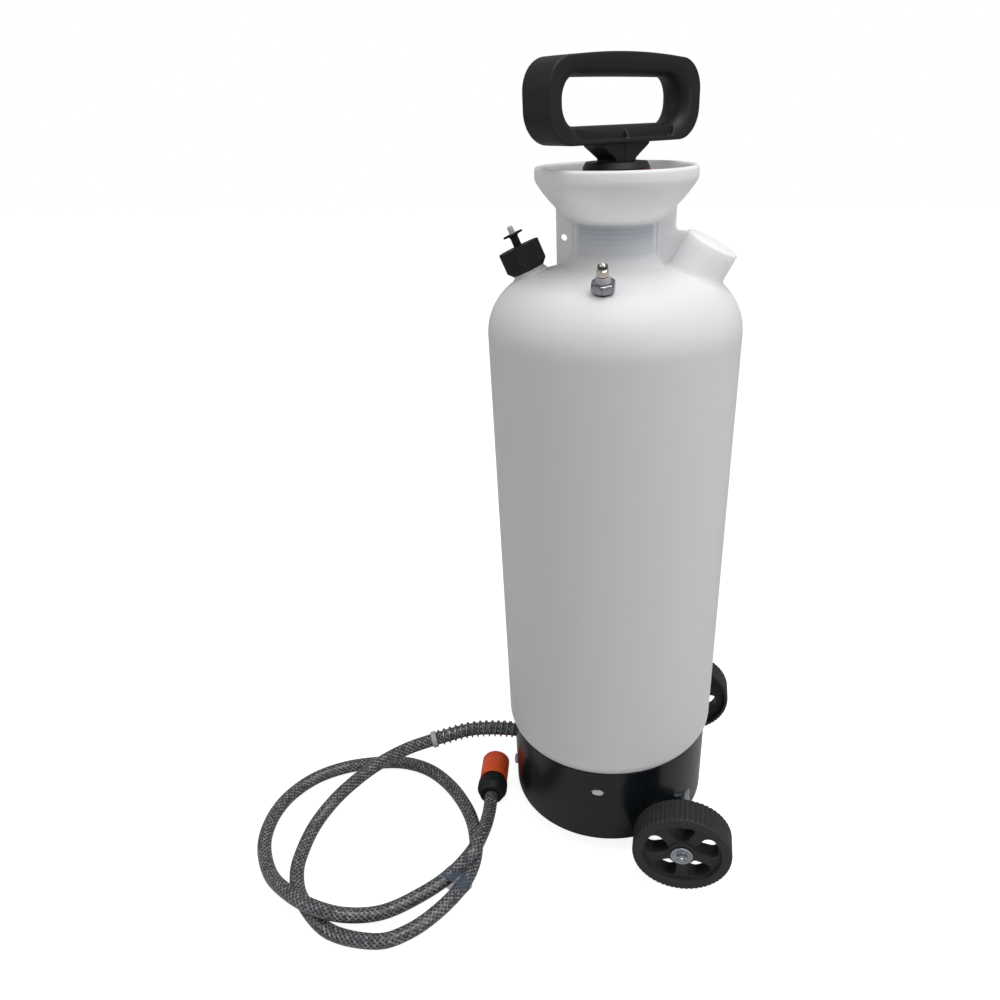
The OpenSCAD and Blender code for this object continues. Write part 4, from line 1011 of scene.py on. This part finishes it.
# ---- air valve ----
def air_valve():
    """The dark nut on its gasket, the threaded stem with its pale collar and the bright cap."""
    seat = 0.43
    gasket = Shape(AT_VALVE).lathe(box_outline(4.9, 8.2, seat, seat + 1.5, 0.4, 4), 64)
    gasket.done("air_valve_gasket_dressed", "tank", "rubber", "air_valve_gasket")
    low = seat + 1.5
    nut_profile = [(4.9, low + 0.3), (5.2, low), (8.9, low), *arc(8.2, low + 2.4, 2.3, -50, 0, 6),
                   *arc(7.4, low + 4.0, 3.1, 0, 80, 8), (6.2, low + 7), (5.2, low + 6.8), (4.9, low + 6.2)]
    nuts = Shape(AT_VALVE).lathe(nut_profile, 120, hexagon(18))
    nuts.done("air_valve_nut_dressed", "tank", "chrome", "air_valve_nut")
    body = Shape(AT_VALVE).lathe([(0, -6.2), (8.2, -6.2), (8.2, -3.8), (4.7, -3.8),
                                  *threads(4.7, 8.4, 0.45, 10), (4.7, 13.2), (4.3, 13.6), (3.9, 13.7),
                                  (3.9, 20.5), (0, 20.5)], 48)
    body.done("air_valve_body_dressed", "tank", "chrome", "air_valve_body")
    collar = Shape(AT_VALVE).lathe([(4.8, 8.2), (6.4, 8.2), (6.1, 9.6), (5.5, 13.0), (5.1, 13.5),
                                    (4.8, 13.4)], 64)
    collar.done("air_valve_collar", "tank", "grey_plastic")
    cap = Shape(AT_VALVE).lathe([(4.1, 14.5), (4.3, 14.1), *arc(4.7, 14.4, 0.4, -90, 0, 3), (4.9, 17.6),
                                 *arc(4.0, 18.0, 0.8, 20, 70, 3), (2.9, 20.0),
                                 *arc(0.4, 21.2, 2.6, -20, 88, 8), (0.3, 23.7), (0.3, 21.9), (2.4, 20.9),
                                 (4.1, 17.6)], 144, ribbed(24, 0.3, 4.7))
    cap.done("air_valve_cap_dressed", "air_cap", "brass", "air_valve_cap")


# ---- hose ----
def hose():
    path = curve_through(HOSE, HOSE_STEPS)
    for p in path:
        p.z = max(p.z, HOSE_R + 0.2)
    n = HOSE_SIDES
    tube = Shape().tube(path, HOSE_R, n).done("hose_dressed", "tank", "hose_braid", "hose", even=False)
    along = distances(path)
    layer = tube.data.uv_layers.new(name="braid")
    for face in tube.data.polygons:
        corners = [(c, *divmod(tube.data.loops[c].vertex_index, n)) for c in face.loop_indices]
        seam = len(corners) == 4 and {k for c, ring, k in corners} == {0, n - 1}
        for c, ring, k in corners:
            layer.data[c].uv = ((k or n) / n if seam else k / n, along[ring] / BRAID_PITCH)
    path[0] * MM
    [tuple(p * MM) for p in path]


def spring_guard():
    """The wire coil over the hose where it leaves the ring."""
    wire_r, pitch, turns_step = 0.9, 7.0, 24
    coil_r = HOSE_R + 0.45 + wire_r
    path = curve_through(HOSE[:6], 24)
    along = distances(path)
    ways = ways_of(path)
    end = along[3 * 24]
    turns = end / pitch
    coil = []
    count = int(turns * turns_step)
    for k in range(count + 1):
        far = end * k / count
        i = max(j for j, d in enumerate(along) if d <= far)
        share = (far - along[i]) / (along[i + 1] - along[i])
        side, up = across(ways[i].lerp(ways[i + 1], share))
        a = 2 * math.pi * far / pitch
        coil.append(path[i].lerp(path[i + 1], share) + coil_r * (side * math.cos(a) + up * math.sin(a)))
    rows = []
    for p, way in zip(coil, ways_of(coil)):
        rows.append(around(p, way, wire_r, 10))
    Shape().rings(rows).done("guard_dressed", "tank", "steel", "spring_guard", even=False)


def guard_clip():
    """The pale clip at the end of the coil."""
    path = curve_through(HOSE[2:6], 24)
    way = ways_of(path)[26]
    s = Shape(facing(path[24] + way * 0.3, way))
    s.lathe(box_outline(HOSE_R + 0.6, HOSE_R + 2.2, 2.4, 8, 0.5, 4), 64)
    s.done("clip_dressed", "tank", "grey_plastic", "guard_clip")


def hose_tie():
    """Clear tape wound round two strands of the hose."""
    a, b = Vector((-145.5, -174, 9)), Vector((-162, -165, 10.5))
    flat = Vector((b.x - a.x, b.y - a.y, 0))
    place = Matrix.Translation(a) @ turned("Z", math.degrees(math.atan2(flat.y, flat.x))) @ UPRIGHT
    outer, inner = HOSE_R + 0.9, HOSE_R + 0.35

    def loop(r):
        return arc(0, 0, r, 90, 270, 16) + arc(flat.length, 0, r, -90, 90, 16)
    Shape(place).plate([loop(outer), loop(inner)], 14).done("tie_dressed", "tank", "tape", "hose_tie")


# ---- connector ----
def at_connector():
    end = Vector(HOSE[-1])
    way = end - Vector(HOSE[-2])
    return Matrix.Translation(end) @ turned("Z", math.degrees(math.atan2(way.y, way.x))) @ turned("Y", 90)


def connector():
    """The ribbed nut on the hose and the sleeve that slides towards it."""
    place = at_connector()
    nut_r, nut_len, tail_r, ribs = 16.5, 20.0, 9.6, 24
    rib_low, rib_high = 7.5, nut_len - 1
    rib_half = (rib_high - rib_low) / 2
    shell = Shape(place)
    shell.lathe([(tail_r, 0.5), (tail_r + 0.5, 0), (12.4, 0), (13.2, 0.5), (14.2, 3), (nut_r - 0.6, 6.6),
                 (nut_r, 7.4), (nut_r, nut_len - 1.2), (nut_r - 1, nut_len), (tail_r + 0.5, nut_len),
                 (tail_r, nut_len - 0.5)], 96)
    for k in range(ribs):
        turn = turned("Z", (k + 0.5) * 360 / ribs)
        rib = place @ turn @ at(nut_r - 0.7, 0, (rib_low + rib_high) / 2) @ UPRIGHT
        shell.moved(rib).plate([box_outline(-1.2, 1.2, -rib_half, rib_half, 0.9, 3)], 1.8, 0.5)
    shell.done("connector_nut_dressed", "tank", "black_moulding", "connector_nut")
    r, bore, low, long = 16.0, 13.55, 24.5, 34.0
    sleeve = Shape(place @ at(0, 0, low))
    sleeve.lathe([(bore, 0.6), (14.1, 0), (r - 1, 0), (r, 1), (r, 8.2), (r - 0.45, 8.6), (r - 0.45, 9.6),
                  (r, 10.0),
                  (r, long - 7.6), (r - 0.5, long - 7.2), (r - 0.5, long - 6.2), (r, long - 5.8),
                  *arc(r - 4, long - 4, 4, 0, 61, 8), (bore, long - 0.9)], 128)
    sleeve.done("connector_sleeve_dressed", "sleeve", "orange_plastic", "connector_sleeve")


# ---- the frame's own parts that stay in view ----
def dress_frame():
    slots = {part["node"]: part["material_slot"] for part in frame["record"]["subparts"]}
    for name, node in frame["nodes"].items():
        if node.hide_render:
            continue
        node.data.materials.clear()
        node.data.materials.append(FINISHES[slots[name]])


# ---- floor and light, in metres ----
def make_floor():
    half = 6.0
    mesh = bpy.data.meshes.new("floor")
    corners = [(-half, -half, 0), (half, -half, 0), (half, half, 0), (-half, half, 0)]
    mesh.from_pydata(corners, [], [(0, 1, 2, 3)])
    floor = bpy.data.objects.new("floor", mesh)
    bpy.context.scene.collection.objects.link(floor)
    f = Finish("pale floor", Base_Color=(0.55, 0.55, 0.55), Roughness=0.9, Specular_IOR_Level=0.0,
               Emission_Color=(1, 1, 1))
    f.put(f.shader.inputs["Emission Strength"], f.node("LightPath", out="Is Camera Ray") * 0.86)
    mesh.materials.append(f.material)


def lamp(name, wide, high, power, place, aim):
    data = bpy.data.lights.new(name, "AREA")
    data.shape = "RECTANGLE"
    data.size, data.size_y = wide, high
    data.energy = power
    obj = bpy.data.objects.new(name, data)
    bpy.context.scene.collection.objects.link(obj)
    obj.location = place
    obj.rotation_euler = (Vector(aim) - Vector(place)).to_track_quat("-Z", "Y").to_euler()


def make_light():
    world = bpy.data.worlds.new("studio")
    bpy.context.scene.world = world
    world.use_nodes = True
    nodes, links = world.node_tree.nodes, world.node_tree.links
    seen = nodes.new("ShaderNodeLightPath")
    level = nodes.new("ShaderNodeMapRange")
    level.inputs["To Min"].default_value = 0.36
    level.inputs["To Max"].default_value = 1.0
    links.new(seen.outputs["Is Camera Ray"], level.inputs["Value"])
    links.new(level.outputs["Result"], nodes["Background"].inputs["Strength"])
    nodes["Background"].inputs["Color"].default_value = (1, 1, 1, 1)
    lamp("overhead", 1.4, 1.4, 28, (0.45, -0.35, 2.3), (0, 0, 0.4))
    lamp("left", 0.9, 1.3, 5, (-1.7, -0.9, 1.4), (0, 0, 0.35))
    lamp("right", 0.6, 1.5, 6.5, (1.5, -0.9, 1.1), (0, 0, 0.35))


make_camera()
tank()
base_ring()
foot_nuts()
wheel("wheel_left", -1)
wheel("wheel_right", 1)
axle()
pump_head()
handle()
relief_valve()
air_valve()
spring_guard()
guard_clip()
hose_tie()
connector()
hose()
dress_frame()
make_floor()
make_light()
bpy.context.scene.view_settings.view_transform = "Standard"
